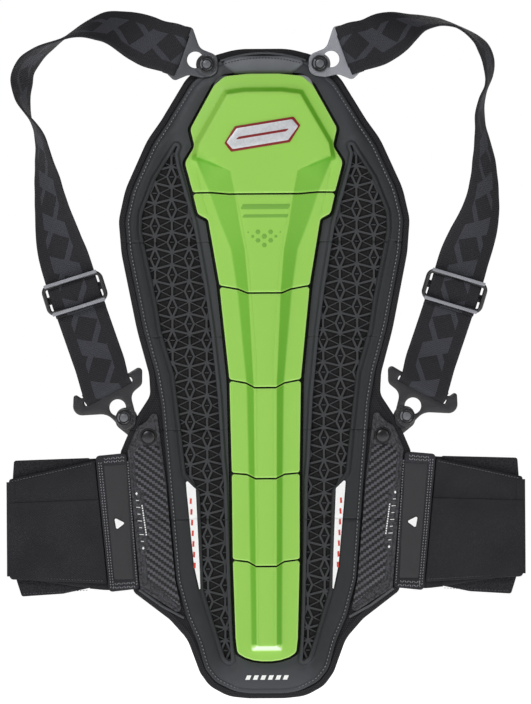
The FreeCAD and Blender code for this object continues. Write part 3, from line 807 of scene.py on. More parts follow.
def yoke_finish():
    """Moulded nylon, with a painted reflection that makes it lighter towards its right arm."""
    f = Finish("yoke_nylon", (48, 49, 53), 0.4)
    x, _, _ = f.axes()
    # painted reflection: lighter towards the right arm
    f.paint(f.range(x, -0.005, 0.045), (112, 113, 120))
    f.paint(f.range(f.noise(60, 3), 0.4, 0.7, 0, 0.3), (60, 61, 65))
    f.gloss(f.noise(300, 3), 0.34, 0.5)
    f.emboss(f.noise(2000, 2), 0.12, 0.0002)
    return f.material


def metal_finish(name, colour, roughness, metallic=1.0):
    f = Finish(name, colour, roughness, metallic)
    f.paint(f.range(f.noise(500, 4), 0.4, 0.75, 0, 0.4), times(colour, 0.8))
    f.gloss(f.noise(160, 3), roughness - 0.06, roughness + 0.12)
    f.emboss(f.noise(1600, 2), 0.08, 0.0002)
    return f.material


def thread_finish(name, colour):
    f = Finish(name, colour, 0.7, Sheen_Weight=0.3)
    f.paint(f.range(f.noise(2500, 2), 0.4, 0.7), times(colour, 0.6))
    f.emboss(f.noise(4000, 2), 0.4, 0.0002)
    return f.material


PLATE = plate_finish()
PRINT_GREEN = print_finish("dark_green_print", (112, 168, 56))
COVER = cover_finish()
# black rubber, also used as painted shade in the gaps round and between the plates
BLACK_AND_PAINTED_SHADE = rubber_finish("plate_bed", (9, 9, 10), 0.75)
COLLAR = rubber_finish("collar_rubber", (98, 100, 106), 0.5)
PAD = pad_finish()
LATTICE = rubber_finish("vent_rubber", (48, 49, 52), 0.6)
MESH_FLOOR = floor_mesh_finish()
WEBBING = webbing_finish()
CARBON = carbon_finish()
FELT = felt_finish("wing_felt", (70, 70, 74))
BELT = belt_finish("belt_elastic", (26, 26, 28))
HOOK = hook_finish()
PLASTIC = plastic_finish("black_nylon", (36, 36, 39))
# light grey nylon; on the right side's clip and disc its lightness is a painted reflection
LIGHT_GREY_AND_REFLECTION = plastic_finish("light_grey_nylon_and_painted_reflection", (138, 139, 146), 0.4)
GREY_PLASTIC = plastic_finish("grey_nylon", (72, 73, 78), 0.4)
STUD_HIGHLIGHT = plastic_finish("stud_painted_highlight", (96, 97, 102), 0.3)
YOKE_PLASTIC = yoke_finish()
SNAP = metal_finish("snap_steel", (70, 70, 72), 0.28)
SILVER = metal_finish("badge_silver", (214, 216, 220), 0.4, 0.55)
RED = print_finish("dark_red_enamel", (128, 8, 14), 0.35)
WHITE = print_finish("white_print", (246, 246, 246))
RED_PRINT = print_finish("red_print", (206, 60, 44))
THREAD = thread_finish("grey_thread", (150, 150, 154))
DARK_THREAD = thread_finish("dark_thread", (12, 12, 13))
ALUMINIUM = metal_finish("core_aluminium", (176, 178, 182), 0.35)
TAB_CLOTH = belt_finish("tab_cloth", (32, 32, 35), 0.0012)
TAB_SMOOTH = rubber_finish("tab_panel", (37, 37, 40), 0.55)
COVER_PLAIN = rubber_finish("piping_rubber", (62, 63, 67), 0.5)
THREAD_DIM = thread_finish("dim_thread", (92, 92, 96))


# ======== the board ========
PAD_LINE = contour(both(PAD_HALF), 4)
COVER_LINE = contour(both(COVER_HALF), 4)
WINDOW_RIGHT = contour(WINDOW)
WINDOW_LEFT = contour(WINDOW, side=-1)
WINDOWS = [(WINDOW_RIGHT, True), (WINDOW_LEFT, True)]
FRAME_LINE = rounded(both(FRAME_HALF))
PLATES_HALF = [(x, z, 4) for x, z in PLATE_SIDES[0]]
for number in range(1, 6):
    PLATES_HALF += [(x, z, 3) for x, z in PLATE_SEAMS[number - 1][:1] + PLATE_SIDES[number]]
PLATES_LINE = contour(both(PLATES_HALF))
SHADED_GROOVE_DEPTH = 10.4
FRAME_RAISE = 1.5


def cover_tone_and_painted_light(points):
    """How light the cover is: 1 on the inner frame, which is a lighter grey, and towards the foot of the
    board, where the lightening is painted light.
    """
    light = smooth(signed(points, FRAME_LINE), -5, 5)
    foot = smooth(-points[:, 1], 165, 190) * (1 - smooth(np.abs(points[:, 0]), 22, 52))
    return np.maximum(0.72 * light, foot)


def pad_front(points, rim):
    return PAD_DEPTH - fillet(rim, 2.2) + 0.9 * bump(rim - 4.3, 0.9)


QUILT_X = 34.0
CHANNEL = (-3, -1.4, 0, 1.4, 3)


def pad_back(points, rim):
    """Quilted lining: sewn channels at the flex lines and beside the spine, crowned between."""
    x, z = points[:, 0], points[:, 1]
    near = np.minimum(rim, np.abs(np.abs(x) - QUILT_X))
    for seam in SEAMS:
        near = np.minimum(near, np.abs(z - seam))
    return fillet(rim, 2.5) + 1.5 * bump(near, 3.0) * (rim > 2.5) - 1.2 * smooth(near, 1, 14)


def cover_front(points, rim):
    outer = distance(points, [(COVER_LINE, True)])
    hole = distance(points, WINDOWS)
    plates = signed(points, PLATES_LINE)
    raise_frame = FRAME_RAISE * smooth(signed(points, FRAME_LINE), -5, 5)
    depth = COVER_DEPTH + raise_frame * (1 - smooth(outer, 9, 0))
    depth += 0.9 * (smooth(hole, -0.4, 0.8) - smooth(hole, 2.1, 3.1)) - 0.5 * bump(hole - 3.7, 0.7)
    depth -= fillet(outer, 1.7) + 0.5 * bump(outer - 3.7, 0.7)
    edge = smooth(plates, -SHADED_GROOVE_WIDTH - 0.5, -SHADED_GROOVE_WIDTH)
    depth -= edge * (depth - SHADED_GROOVE_DEPTH)
    return np.where(plates > 1.0, COVER_DEPTH - 0.05, depth)


def board():
    channels = [(spaced([(-125, seam + gap), (125, seam + gap)], 6, False), False)
                for seam in SEAMS for gap in CHANNEL]
    channels += [(spaced([(x + gap, 300), (x + gap, -212)], 6, False), False)
                 for x in (-QUILT_X, QUILT_X) for gap in CHANNEL]
    pad = relief("foam_pad", [PAD_LINE], pad_front, pad_back, PAD,
                 rings=(0.25, 0.9, 2.2, 3.4, 4.3, 5.2), lines=channels, fill=6, sharp=50)
    along_spine(pad, "pad_%d")

    shaded_groove_edges = [(inset(PLATES_LINE, gap), True) for gap in (-SHADED_GROOVE_WIDTH - 0.5, -SHADED_GROOVE_WIDTH, 0.9, 1.0)]
    cover = relief("cover", [COVER_LINE, WINDOW_RIGHT, WINDOW_LEFT], cover_front, level(9.05),
                   COVER, rings=(0.3, 0.8, 1.7, 2.3, 3.1, 3.7, 4.4), lines=shaded_groove_edges, fill=5, sharp=40)
    cover.data.materials.append(BLACK_AND_PAINTED_SHADE)
    centres = np.array([p.center[:] for p in cover.data.polygons]) / MM
    flat = centres[:, [0, 2]]
    # faces round the plates are black: painted shade in the groove between the plates and the cover
    black = signed(flat, PLATES_LINE) > -SHADED_GROOVE_WIDTH - 0.25
    cover.data.polygons.foreach_set("material_index", black.astype(int))
    shade(cover, cover_tone_and_painted_light)
    along_spine(cover, "cover_%d")

    seat = relief("window_backing", [inset(WINDOW_RIGHT, -0.8)], level(WINDOW_FLOOR), level(9.1),
                  MESH_FLOOR, fill=9)
    other = relief("window_backing_left", [inset(WINDOW_LEFT, -0.8)], level(WINDOW_FLOOR),
                   level(9.1), MESH_FLOOR, fill=9)
    along_spine(joined("window_backing", [seat, other]))


def ribs():
    """Ribs and thin fins of the vent lattice over the right half of the board: ends and width."""
    thick, thin = [], []
    drop = 2 * RHOMBUS_HALF_HEIGHT - LATTICE_PERIOD / 2
    bar = LATTICE_PERIOD - 2 * RHOMBUS_HALF_HEIGHT
    for column in range(1, 8):
        x = LATTICE_START[0] + column * LATTICE_COLUMN
        for row in range(-9, 11):
            z = LATTICE_START[1] + (row + (column % 2) / 2) * LATTICE_PERIOD
            top, low = (x, z + RHOMBUS_HALF_HEIGHT), (x, z - RHOMBUS_HALF_HEIGHT)
            thick.append((top, (x, top[1] + bar), RIB))
            thin.append(((x - 1.4, z), (x + 1.4, z), FIN))
            for node in (top, low):
                thick.append(((x - 0.8, node[1]), (x + 0.8, node[1]), NODE_WIDTH))
            for side in (-1, 1):
                corner = (x + side * RHOMBUS_HALF_WIDTH, z)
                thick.append((top, corner, RIB))
                thick.append((corner, low, RIB))
                thick.append((top, (x + side * LATTICE_COLUMN, top[1] - drop), RIB))
                for lean in (-1, 1):
                    reach = (side * (LATTICE_COLUMN - RHOMBUS_HALF_WIDTH),
                             lean * (LATTICE_PERIOD / 2 - RHOMBUS_HALF_HEIGHT))
                    tip = (corner[0] + side * 0.9, z + lean * 0.15)
                    thin.append((tip, (tip[0] + 0.72 * reach[0], tip[1] + 0.72 * reach[1]), FIN))
    return thick, thin


def lattice(side, window, rows, depth):
    """Relief of the ribs in a window, down to its floor."""
    lines, boxes = [], []
    low, high = window.min(0) - 4, window.max(0) + 4
    for start, end, width in rows:
        start, end = np.array(start) * (side, 1), np.array(end) * (side, 1)
        if not all(low[k] < (start[k] + end[k]) / 2 < high[k] for k in (0, 1)):
            continue
        run = (end - start) / np.linalg.norm(end - start)
        start, end = start - run * width * 0.3, end + run * width * 0.3
        across = np.array([-run[1], run[0]]) * width / 2
        lines.append((np.array([start + across, end + across, end - across, start - across]), True))
        boxes.append((start, run, np.linalg.norm(end - start), width / 2))
    starts = np.array([b[0] for b in boxes])
    runs = np.array([b[1] for b in boxes])
    reach = np.array([b[2] for b in boxes])
    half = np.array([b[3] for b in boxes])

    def on_rib(points):
        out = np.zeros(len(points), bool)
        for first in range(0, len(points), 2000):
            block = points[first:first + 2000, None, :] - starts[None]
            along = (block * runs).sum(2)
            across = np.abs(block[..., 0] * runs[:, 1] - block[..., 1] * runs[:, 0])
            hit = (along > 0) & (along < reach) & (across < half)
            out[first:first + 2000] = hit.any(1)
        return out & inside(points, [window])

    return relief("ribs", [window], level(depth), level(WINDOW_FLOOR - 0.1), LATTICE,
                  lines=lines, fill=None, contains=on_rib, sharp=30)


def lattices():
    thick, thin = ribs()
    parts = []
    for side, window in ((1, WINDOW_RIGHT), (-1, WINDOW_LEFT)):
        parts.append(lattice(side, window, thick, GRID_DEPTH))
        parts.append(lattice(side, window, thin, GRID_DEPTH - 0.5))
    along_spine(joined("vent_lattice", parts), "vent_grid_%d")


def blurred(function, points, radius):
    """Mean of a function of points over a small ring, which rounds its creases."""
    total = function(points)
    for k in range(8):
        turn = k * math.pi / 4
        total = total + function(points + (radius * math.cos(turn), radius * math.sin(turn)))
    return total / 9


CREST_LINE = rounded([(x, z, 1.5) for x, z in both(CREST_HALF)])
FOOT_LINE = rounded([(x, z, 1.5) for x, z in both(FOOT_HALF)])


def spine(points):
    """Depth of the plates' common surface before their rims are rounded."""
    crest, foot = signed(points, CREST_LINE), signed(points, FOOT_LINE)
    out, within = np.maximum(-crest, 0), np.maximum(foot, 0)
    slope = CREST_DEPTH + (FOOT_DEPTH - CREST_DEPTH) * out / np.maximum(out + within, 1e-6)
    away = np.maximum(-foot, 0)
    low = FOOT_DEPTH - 0.3 * np.minimum(away, 2.3) - 0.07 * away
    return np.where(foot > 0, slope, low) - 0.0006 * points[:, 0] ** 2


def plate_outline(number):
    half = []
    if number > 0:
        half += [(x, z - PLATE_GAP / 2, 0) for x, z in reversed(PLATE_SEAMS[number - 1])]
        half[-1] = half[-1][:2] + (2.0,)
    half += [(x, z, PLATE_CORNER.get(number, 3.0)) for x, z in PLATE_SIDES[number]]
    if number < 5:
        seam = [(x, z + PLATE_GAP / 2, 0) for x, z in PLATE_SEAMS[number]]
        seam[0] = seam[0][:2] + (2.0,)
        half += seam
    return contour(both(half))


GROOVE_HALF = [(21.5, 182.6), (16.4, 158), (12.4, 134), (10.0, 107), (6.6, 60), (6.4, 30),
               (6.0, -165)]
FLANGE_HALF = [(51.8, 203), (48.4, 186), (43.6, 168)]
EAR_CREASE = [(50.6, 210.9), (28.6, 202.9)]
FINE_LINES = [(np.array(line) * (side, 1), False)
              for line in (GROOVE_HALF, FLANGE_HALF) for side in (-1, 1)]
EAR_LINES = [(np.array(EAR_CREASE) * (side, 1), False) for side in (-1, 1)]


def ear_shadow(points):
    """1 along the undercut below the ears of the top plate, tapering inwards."""
    width = 0.5 + 1.7 * smooth(np.abs(points[:, 0]), 28, 50)
    reach = smooth(np.abs(points[:, 0]), 27, 36)
    return bump(distance(points - (0, -0.7), EAR_LINES), width) * reach


def plate_painted_light(points):
    """How much painted shade darkens the satin slopes between the crest and the foot of the spine, more
    under the ears; negative for a painted glint on the bevel at the spine's foot.
    """
    crest, foot = signed(points, CREST_LINE), signed(points, FOOT_LINE)
    slope = smooth(-crest, -0.1, 0.7) * smooth(foot, -0.3, 0.3)
    width = np.clip(np.abs(crest) + np.abs(foot), 3.5, 16)
    depth = 0.62 + 0.3 * (16 - width) / 12.5 + 0.06 * np.sign(points[:, 0])
    left_bevel = smooth(points[:, 1], 212, 216) * smooth(-points[:, 0], 27, 31)
    out = slope * depth * (1 - left_bevel)
    glint = smooth(-points[:, 1], 164.6, 165.4) * smooth(-crest, -0.1, 0.5)
    glint = glint * smooth(foot, -0.3, 0.3)
    out = np.where(glint > 0.02, -2 * glint, out)
    return np.clip(np.maximum(out, 1.2 * ear_shadow(points) - 4 * glint), -2, 1)


def plates():
    sides = np.array([c[:2] for c in PLATES_HALF])
    walls = [(sides, False), (sides * (-1, 1), False)]
    ends = [(np.array([(-12, z), (12, z)]), False) for z in (276.2, -176)]
    creases = []
    for line in (CREST_LINE, FOOT_LINE):
        dense = spaced(line, 4)
        creases += [(inset(dense, gap), True) for gap in (-0.8, 0.0, 0.8)]

    for line, closed in FINE_LINES:
        dense = spaced(line, 4, False)
        creases += [(dense + (gap, 0), closed) for gap in (-0.4, 0, 0.4)]
    creases += [(spaced(line, 3, False) + (0, gap), closed) for line, closed in EAR_LINES
                for gap in (-2.2, -1.2, -0.6, 0)]

    def front(points, rim):
        depth = blurred(spine, points, 0.7) - fillet(rim, 1.2)
        return depth - 0.3 * bump(distance(points, FINE_LINES), 0.45) - 0.5 * ear_shadow(points)

    # painted highlight along the rounded rim of each plate
    def painted_rim_highlight(points, outline):
        return smooth(signed(points, outline), 1.25, 0.2)

    def back(points, rim):
        under = np.maximum(spine(points) - PLATE_WALL, COVER_DEPTH)
        return np.where(distance(points, walls + ends) < 2.7, COVER_DEPTH, under)

    for number in range(6):
        outline = plate_outline(number)
        plate = relief("plate_%d_shell" % (number + 1), [outline], front, back, PLATE,
                       rings=(0.2, 0.6, 1.2, 2.4, 3.0), lines=creases, fill=4, sharp=32)
        parts = [plate]
        if number > 0:
            half = [(x, z) for x, z in PLATE_SEAMS[number - 1]]
            half[0] = (half[0][0] - 3.2, half[0][1])
            upper = [(x, z + 6) for x, z in reversed(half)]
            lower = [(x, z - 3.5) for x, z in half]
            # black tongue under each seam: painted shade in the gap between two plates
            tongue = relief("tongue", [spaced(both(upper + lower), 4)],
                            lambda p, r: spine(p) - 3.7, lambda p, r: spine(p) - 5.7, BLACK_AND_PAINTED_SHADE, fill=4)
            parts.append(tongue)
        shell = joined("plate_%d_shell" % (number + 1), parts)
        shade(shell, lambda points: plate_painted_light(points) - 0.8 * painted_rim_highlight(points, outline))
        on_body(shell, "segment_%d" % (number + 1), "plate", "plate_%d" % (number + 1))
        core = frame["nodes"]["core_%d" % (number + 1)]
        core.data.materials.clear()
        core.data.materials.append(ALUMINIUM)


def on_plate(loop, name, finish, lift, sink=0.4, radius=0.3):
    """Thin raised print or badge that follows the plates' surface."""
    def front(points, rim):
        return blurred(spine, points, 0.7) + lift - fillet(rim, radius)

    def back(points, rim):
        return blurred(spine, points, 0.7) - sink

    return relief(name, [spaced(loop, 3)], front, back, finish, rings=(radius * 0.4, radius),
                  fill=3)


BADGE_CENTRE = (-1.0, 229.0)
BADGE_LEAN = math.radians(9)
BADGE_RIM = [(-30, -2, 1), (-20, 9.5, 1.5), (26, 9.5, 1.5), (30, 2, 1), (20, -9.5, 1.5),
             (-26, -9.5, 1.5)]
BADGE_FACE = [(x * 0.94, z * 0.81, r) for x, z, r in BADGE_RIM]
BADGE_BAR = [(-22, -0.9, 0.6), (-18, 1.1, 0.6), (22, 1.1, 0.6), (18, -0.9, 0.6)]
PRINT_LIFT = 0.12
PRINT_BARS = ((173.2, 18.5, 2.1), (166.0, 17.5, 1.3))
PRINT_DOTS = ((12.4, 153.5, 0.7), (8.9, 150.3, 1.3), (4.9, 153.7, 2.0), (4.9, 147.1, 2.0),
              (0.0, 150.3, 2.2), (0.0, 143.6, 2.0))


def prints():
    """Generic badge on the top plate, bars and dots on the second."""
    cos, sin = math.cos(BADGE_LEAN), math.sin(BADGE_LEAN)
    badge = ((BADGE_RIM, "badge_rim", RED, 0.7), (BADGE_FACE, "badge_face", SILVER, 1.1),
             (BADGE_BAR, "badge_bar", RED, 1.3))
    for corners, name, finish, lift in badge:
        leant = [(BADGE_CENTRE[0] + x * cos - z * sin, BADGE_CENTRE[1] + x * sin + z * cos, r)
                 for x, z, r in corners]
        on_body(on_plate(rounded(leant, 1), name, finish, lift), "segment_1", "plate")
    for z, half, tall in PRINT_BARS:
        strip = [(-half, z - tall, 1), (-half + 2, z + tall, 1), (half + 2, z + tall, 1),
                 (half, z - tall, 1)]
        bar = on_plate(rounded(strip, 1), "plate_2_bar_%d" % tall, PRINT_GREEN, PRINT_LIFT)
        on_body(bar, "segment_2", "plate")
    dots = []
    for x, z, radius in PRINT_DOTS:
        for side in ((-1, 1) if x else (1,)):
            dots.append(on_plate(circle((x * side, z), radius, 6), "dot", PRINT_GREEN, PRINT_LIFT,
                                 0.3, 0.15))
    on_body(joined("plate_2_dots", dots), "segment_2", "plate")


# ======== shoulder fittings ========
UPPER_STUD = (43.8, 284.2)
UPPER_EYE = (52.6, 287.8)
LOWER_STUD = (109.6, 10.9)
LOWER_EYE = (114.5, 18.8)
EYE_RADIUS = 6.4
NECK_RADIUS = 3.06
KEY_HALF = 2.4
UPPER_CLIP_BACK, LOWER_CLIP_BACK = 12.3, 7.3
CLIP_WALL = 3.0
BOSS_RADIUS, DISH_RADIUS, DISH_EDGE = 7.7, 8.6, 9.5
ARM_BACK, ARM_FRONT = 4.0, 7.0
UPPER_CLIP = [
    (54.5, 312.8, 3.5), (62.5, 314.5, 3.5), (75.2, 277.6, 3.5), (69.0, 271.6, 3.5),
    (58, 276.2, 8), (48, 273.8, 7), (35.2, 275.4, 7.5), (35.2, 291.2, 7), (49, 296.5, 8),
]
UPPER_SLOT = [(57.2, 306.2, 1), (60.2, 307.3, 1), (69.4, 281.9, 1), (66.4, 280.8, 1)]
LOWER_CLIP = [
    (95.2, 52.0, 5), (95.4, 36.5, 5), (104.6, 29.0, 8), (100.3, 12.0, 8), (101.0, 2.6, 6),
    (109.6, 0.6, 6), (122.5, 13.8, 12), (149.5, 12.4, 7), (148.6, 30.2, 6), (142.4, 26.0, 2),
    (104.4, 46.4, 2),
]
LOWER_SLOT = [(104.2, 42.6, 1), (102.6, 39.4, 1), (139.2, 19.9, 1), (140.8, 23.1, 1)]
YOKE_HALF = [(26, 262, 10), (36, 268, 12), (52.0, 280, 8), (50, 292, 8), (40, 292, 8),
             (30, 276, 12), (20, 272, 8)]
YOKE_DISC = (29.5, 266.6)
ARM = [(84, -2, 4), (94, -12, 3), (104, -5, 6), (117.6, 6.0, 8), (114, 19.4, 8), (101.5, 18.0, 8),
       (98, 8, 8)]
COLLAR_DEPTH = 14.0
COLLAR_HALF = [(18, 290.6, 30), (34.2, 286.6, 3), (22.5, 276.9, 3)]


def keyhole(stud, eye):
    """Round eye that runs through a narrow neck into the stud's hole."""
    ahead = math.atan2(stud[1] - eye[1], stud[0] - eye[0])
    gape = math.asin(KEY_HALF / EYE_RADIUS)
    pinch = math.asin(KEY_HALF / NECK_RADIUS)
    line = []
    for k in range(41):
        turn = ahead + gape + (2 * math.pi - 2 * gape) * k / 40
        line.append((eye[0] + EYE_RADIUS * math.cos(turn), eye[1] + EYE_RADIUS * math.sin(turn)))
    for k in range(17):
        turn = ahead + math.pi + pinch + (2 * math.pi - 2 * pinch) * k / 16
        line.append((stud[0] + NECK_RADIUS * math.cos(turn),
                     stud[1] + NECK_RADIUS * math.sin(turn)))
    return np.array(line)


def clip(name, corners, slot, stud, eye, back, side, finish):
    loops = [rounded(corners), keyhole(stud, eye), rounded(slot, 1)]
    loops = [flip(spaced(loop, 2), side) for loop in loops]

    def front(points, rim):
        boss = np.hypot(points[:, 0] - side * stud[0], points[:, 1] - stud[1])
        dish = 0.5 * bump(np.maximum(boss - DISH_RADIUS, 0), DISH_EDGE - DISH_RADIUS)
        dish = dish * (boss < DISH_EDGE) * (boss > BOSS_RADIUS)
        return back + CLIP_WALL - fillet(rim, 1.1) - dish

    ring = [(flip(circle(stud, radius), side), True)
            for radius in (BOSS_RADIUS, 8.2, DISH_RADIUS, 9.1, DISH_EDGE)]
    return relief(name, loops, front, lambda p, r: back + fillet(r, 0.6), finish,
                  rings=(0.2, 0.6, 1.1), lines=ring, fill=3)


def stud_head(centre, seat):
    """Moulded head of a stud: rimmed disc, raised post and two hooked ribs."""
    top = seat + 0.3 + CLIP_WALL + 0.2
    disc = [(0.05, seat - 0.5), (3.0, seat - 0.5), (3.0, top - 0.3), (5.4, top), (6.2, top + 0.4),
            (6.5, top + 1.0), (6.3, top + 1.6), (5.8, top + 1.9), (5.3, top + 1.6),
            (4.9, top + 0.9), (0.05, top + 0.9)]
    post = [(0.05, top + 0.5), (3.3, top + 0.5), (3.3, top + 2.0), (3.0, top + 2.6),
            (2.2, top + 2.9), (0.05, top + 2.95)]
    # the post and one rib are in a lighter nylon: painted highlight
    parts = [lathe("disc", centre, disc, PLASTIC), lathe("post", centre, post, STUD_HIGHLIGHT)]
    for turn, finish in ((0.3, PLASTIC), (2.4, STUD_HIGHLIGHT), (4.4, PLASTIC)):
        path = [(centre[0] + 4.5 * math.cos(turn + k * 0.13), top + 1.6,
                 centre[1] + 4.5 * math.sin(turn + k * 0.13)) for k in range(12)]
        parts.append(tube("rib", path, 0.75, finish))
    return parts


def disc(name, centre, radius, seat, top, finish):
    """Flat round boss with a bevelled edge."""
    return lathe(name, centre, [(0.05, seat), (radius, seat), (radius, top - 0.4),
                                (radius - 0.4, top), (0.05, top)], finish)


def yoke():
    parts = [relief("yoke", [contour(both(YOKE_HALF))], pillow(12.4, 0.7), level(10.2),
                    YOKE_PLASTIC, rings=(0.2, 0.7), fill=5)]
    discs = []
    # the right disc is lighter than the left one: painted reflection
    for side, face in ((-1, GREY_PLASTIC), (1, LIGHT_GREY_AND_REFLECTION)):
        stud = (side * UPPER_STUD[0], UPPER_STUD[1])
        parts.append(disc("boss", stud, 8.3, COVER_DEPTH, 12.9, YOKE_PLASTIC))
        parts += stud_head(stud, COVER_DEPTH)
        centre = (side * YOKE_DISC[0], YOKE_DISC[1])
        # black ring round each disc: painted shade of the groove round it
        discs.append(disc("rim", centre, 9.9, COVER_DEPTH, 13.3, BLACK_AND_PAINTED_SHADE))
        discs.append(disc("face", centre, 8.9, 13.0, 14.0, face))
    on_body(joined("yoke", parts), "segment_1", "fitting", "shoulder_yoke")
    on_body(joined("yoke_discs", discs), "segment_1", "fitting")


def collar():
    def front(points, rim):
        crown = 1.3 * smooth(rim, 0, 2.4)
        return COLLAR_DEPTH + crown - fillet(rim, 1.0)

    pad = relief("collar", [contour(both(COLLAR_HALF))], front, level(COVER_DEPTH),
                    COLLAR, rings=(0.3, 0.7, 1.2, 2.0, 2.7, 4.0), fill=3)
    on_body(pad, "segment_1", "cover", "collar_pad")
    piping = [(x, COLLAR_DEPTH - abs(x) * 0.02, 292.6 - 0.0052 * x * x) for x in np.linspace(-33, 33, 45)]
    on_body(tube("collar_piping", piping, 0.9, COVER_PLAIN), "segment_1", "cover")
    row = [(x, 288.9 - 0.0049 * x * x) for x in np.linspace(-30, 30, 40)]
    sewn = stitches("collar_stitches", [row], DARK_THREAD, 15.6, pitch=2.4, length=1.6, width=0.8)
    on_body(sewn, "segment_1", "cover")


def clips(side, name):
    # the right upper clip is lighter than the left one: painted reflection
    upper = LIGHT_GREY_AND_REFLECTION if side > 0 else GREY_PLASTIC
    rows = (
        ("upper", UPPER_CLIP, UPPER_SLOT, UPPER_STUD, UPPER_EYE, UPPER_CLIP_BACK, upper),
        ("lower", LOWER_CLIP, LOWER_SLOT, LOWER_STUD, LOWER_EYE, LOWER_CLIP_BACK, PLASTIC),
    )
    for place, corners, slot, stud, eye, back, finish in rows:
        node = name + place + "_clip"
        plate = clip(node + "_plate", corners, slot, stud, eye, back, side, finish)
        on_body(plate, node, "clip", node)


def side_arm(side, name):
    stud = (side * LOWER_STUD[0], LOWER_STUD[1])
    arm = relief("arm", [contour(ARM, side=side)], pillow(ARM_FRONT, 0.8), level(ARM_BACK),
                 PLASTIC, rings=(0.2, 0.8), fill=5)
    parts = [arm] + stud_head(stud, ARM_FRONT)
    on_body(joined(name + "arm", parts), "segment_4", "fitting", name + "side_arm")


def shoulder_fittings():
    yoke()
    collar()
    for side, name in SIDES:
        clips(side, name)
        side_arm(side, name)


# ======== webbing ========
WEB_HALF = 19.6
WEB_WALL = 1.7
# paths of the upper webbing down to the adjuster: x, depth, z and the roll of its face
LEFT_WEB_PATH = [
    (84.5, 13.4, 300.4, 3), (94.2, 12.0, 304.9, 12), (111.6, 9.0, 312.7, 38),
    (126.3, 6.0, 315.0, 53), (142.6, 3.0, 311.9, 74), (155.9, 1.0, 305.8, 85),
    (166.5, 0.0, 300.0, 93), (175.9, -0.5, 293.7, 101), (184.5, -0.5, 284.5, 108),
    (188.1, 0.0, 273.0, 111), (187.6, 1.0, 259.0, 103), (183.3, 2.0, 246.5, 92),
    (177.6, 3.0, 236.5, 83), (173.4, 4.0, 225.0, 75), (171.3, 5.0, 211.0, 68),
    (168.6, 5.8, 196.0, 58), (164.9, 6.3, 173.0, 45), (159.8, 6.5, 149.0, 24),
]
RIGHT_WEB_PATH = [
    (84.5, 13.4, 300.4, 3), (93.0, 12.3, 304.6, 9), (101.5, 10.6, 309.0, 24),
    (110.8, 8.6, 313.4, 45), (120.1, 6.6, 316.2, 64), (129.4, 4.8, 317.4, 73),
    (138.7, 3.2, 317.0, 79), (148.0, 1.8, 314.6, 83), (157.3, 0.8, 309.8, 82),
    (165.5, 0.2, 304.0, 77), (171.4, 0.0, 296.8, 73), (174.8, -0.2, 288.0, 73),
    (175.3, 0.0, 276.5, 79), (172.9, 0.4, 264.8, 86), (169.6, 1.2, 253.5, 81),
    (168.4, 2.2, 241.5, 77), (169.6, 3.2, 229.5, 73), (170.8, 4.0, 217.8, 66),
    (171.3, 4.8, 206.2, 60), (171.2, 5.4, 194.5, 55), (170.4, 5.9, 182.9, 49),
    (168.6, 6.3, 171.3, 41), (165.4, 6.5, 159.7, 31), (161.0, 6.5, 148.3, 20),
]
WEB_TAIL = [
    (155.4, 6.5, 134.0, 8), (151.4, 6.4, 120.9, 0), (149.4, 7.6, 114.4, 0),
    (147.4, 8.3, 107.7, 0), (145.4, 7.4, 101.2, 0), (143.0, 6.5, 93.6, 0),
]
UPPER_LOOP = [(9, 11.0), (4, 10.9), (0.5, 11.4), (-0.9, 13.8), (0.6, 16.2), (4, 16.7), (10, 16.3)]
UPPER_LOOP_CENTRE = (63.3, 294.0)
UPPER_BAR = (0.334, -0.942)
LOWER_LOOP = [(3.8, 11.6), (0.9, 11.6), (-0.9, 10.4), (-1.4, 8.8), (-0.6, 6.9), (1.5, 6.0),
              (8, 5.4)]
LOWER_LOOP_CENTRE = (121.4, 30.5)
LOWER_BAR = (0.882, -0.470)
LOWER_STRAP = (0.3265, 0.9452)
ADJUSTER_CENTRE = (147.4, 107.7)
ADJUSTER_TILT = math.radians(-17.05)
LOWER_START = [(-17, 0.5), (-9, 0.5), (-2, 0.7), (2.6, 1.6), (4.4, 3.7), (3.2, 5.6), (0, 6.1),
               (-5, 5.2), (-10, 4.6), (-18, 4.6), (-32, 5.6), (-50, 6.6), (-60, 8.6)]


def curve_through(stations, step):
    """Smooth curve through rows of numbers, with points about `step` apart in its first three."""
    stations = np.asarray(stations, float)
    out = []
    for k in range(len(stations) - 1):
        a, b, c, d = (stations[max(0, min(len(stations) - 1, k + n))] for n in (-1, 0, 1, 2))
        count = max(1, math.ceil(np.linalg.norm((c - b)[:3]) / step))
        for t in np.arange(count) / count:
            out.append(b + 0.5 * t * (c - a + t * (2 * a - 5 * b + 4 * c - d
                                                   + t * (3 * (b - c) + d - a))))
    out.append(stations[-1])
    return np.array(out)


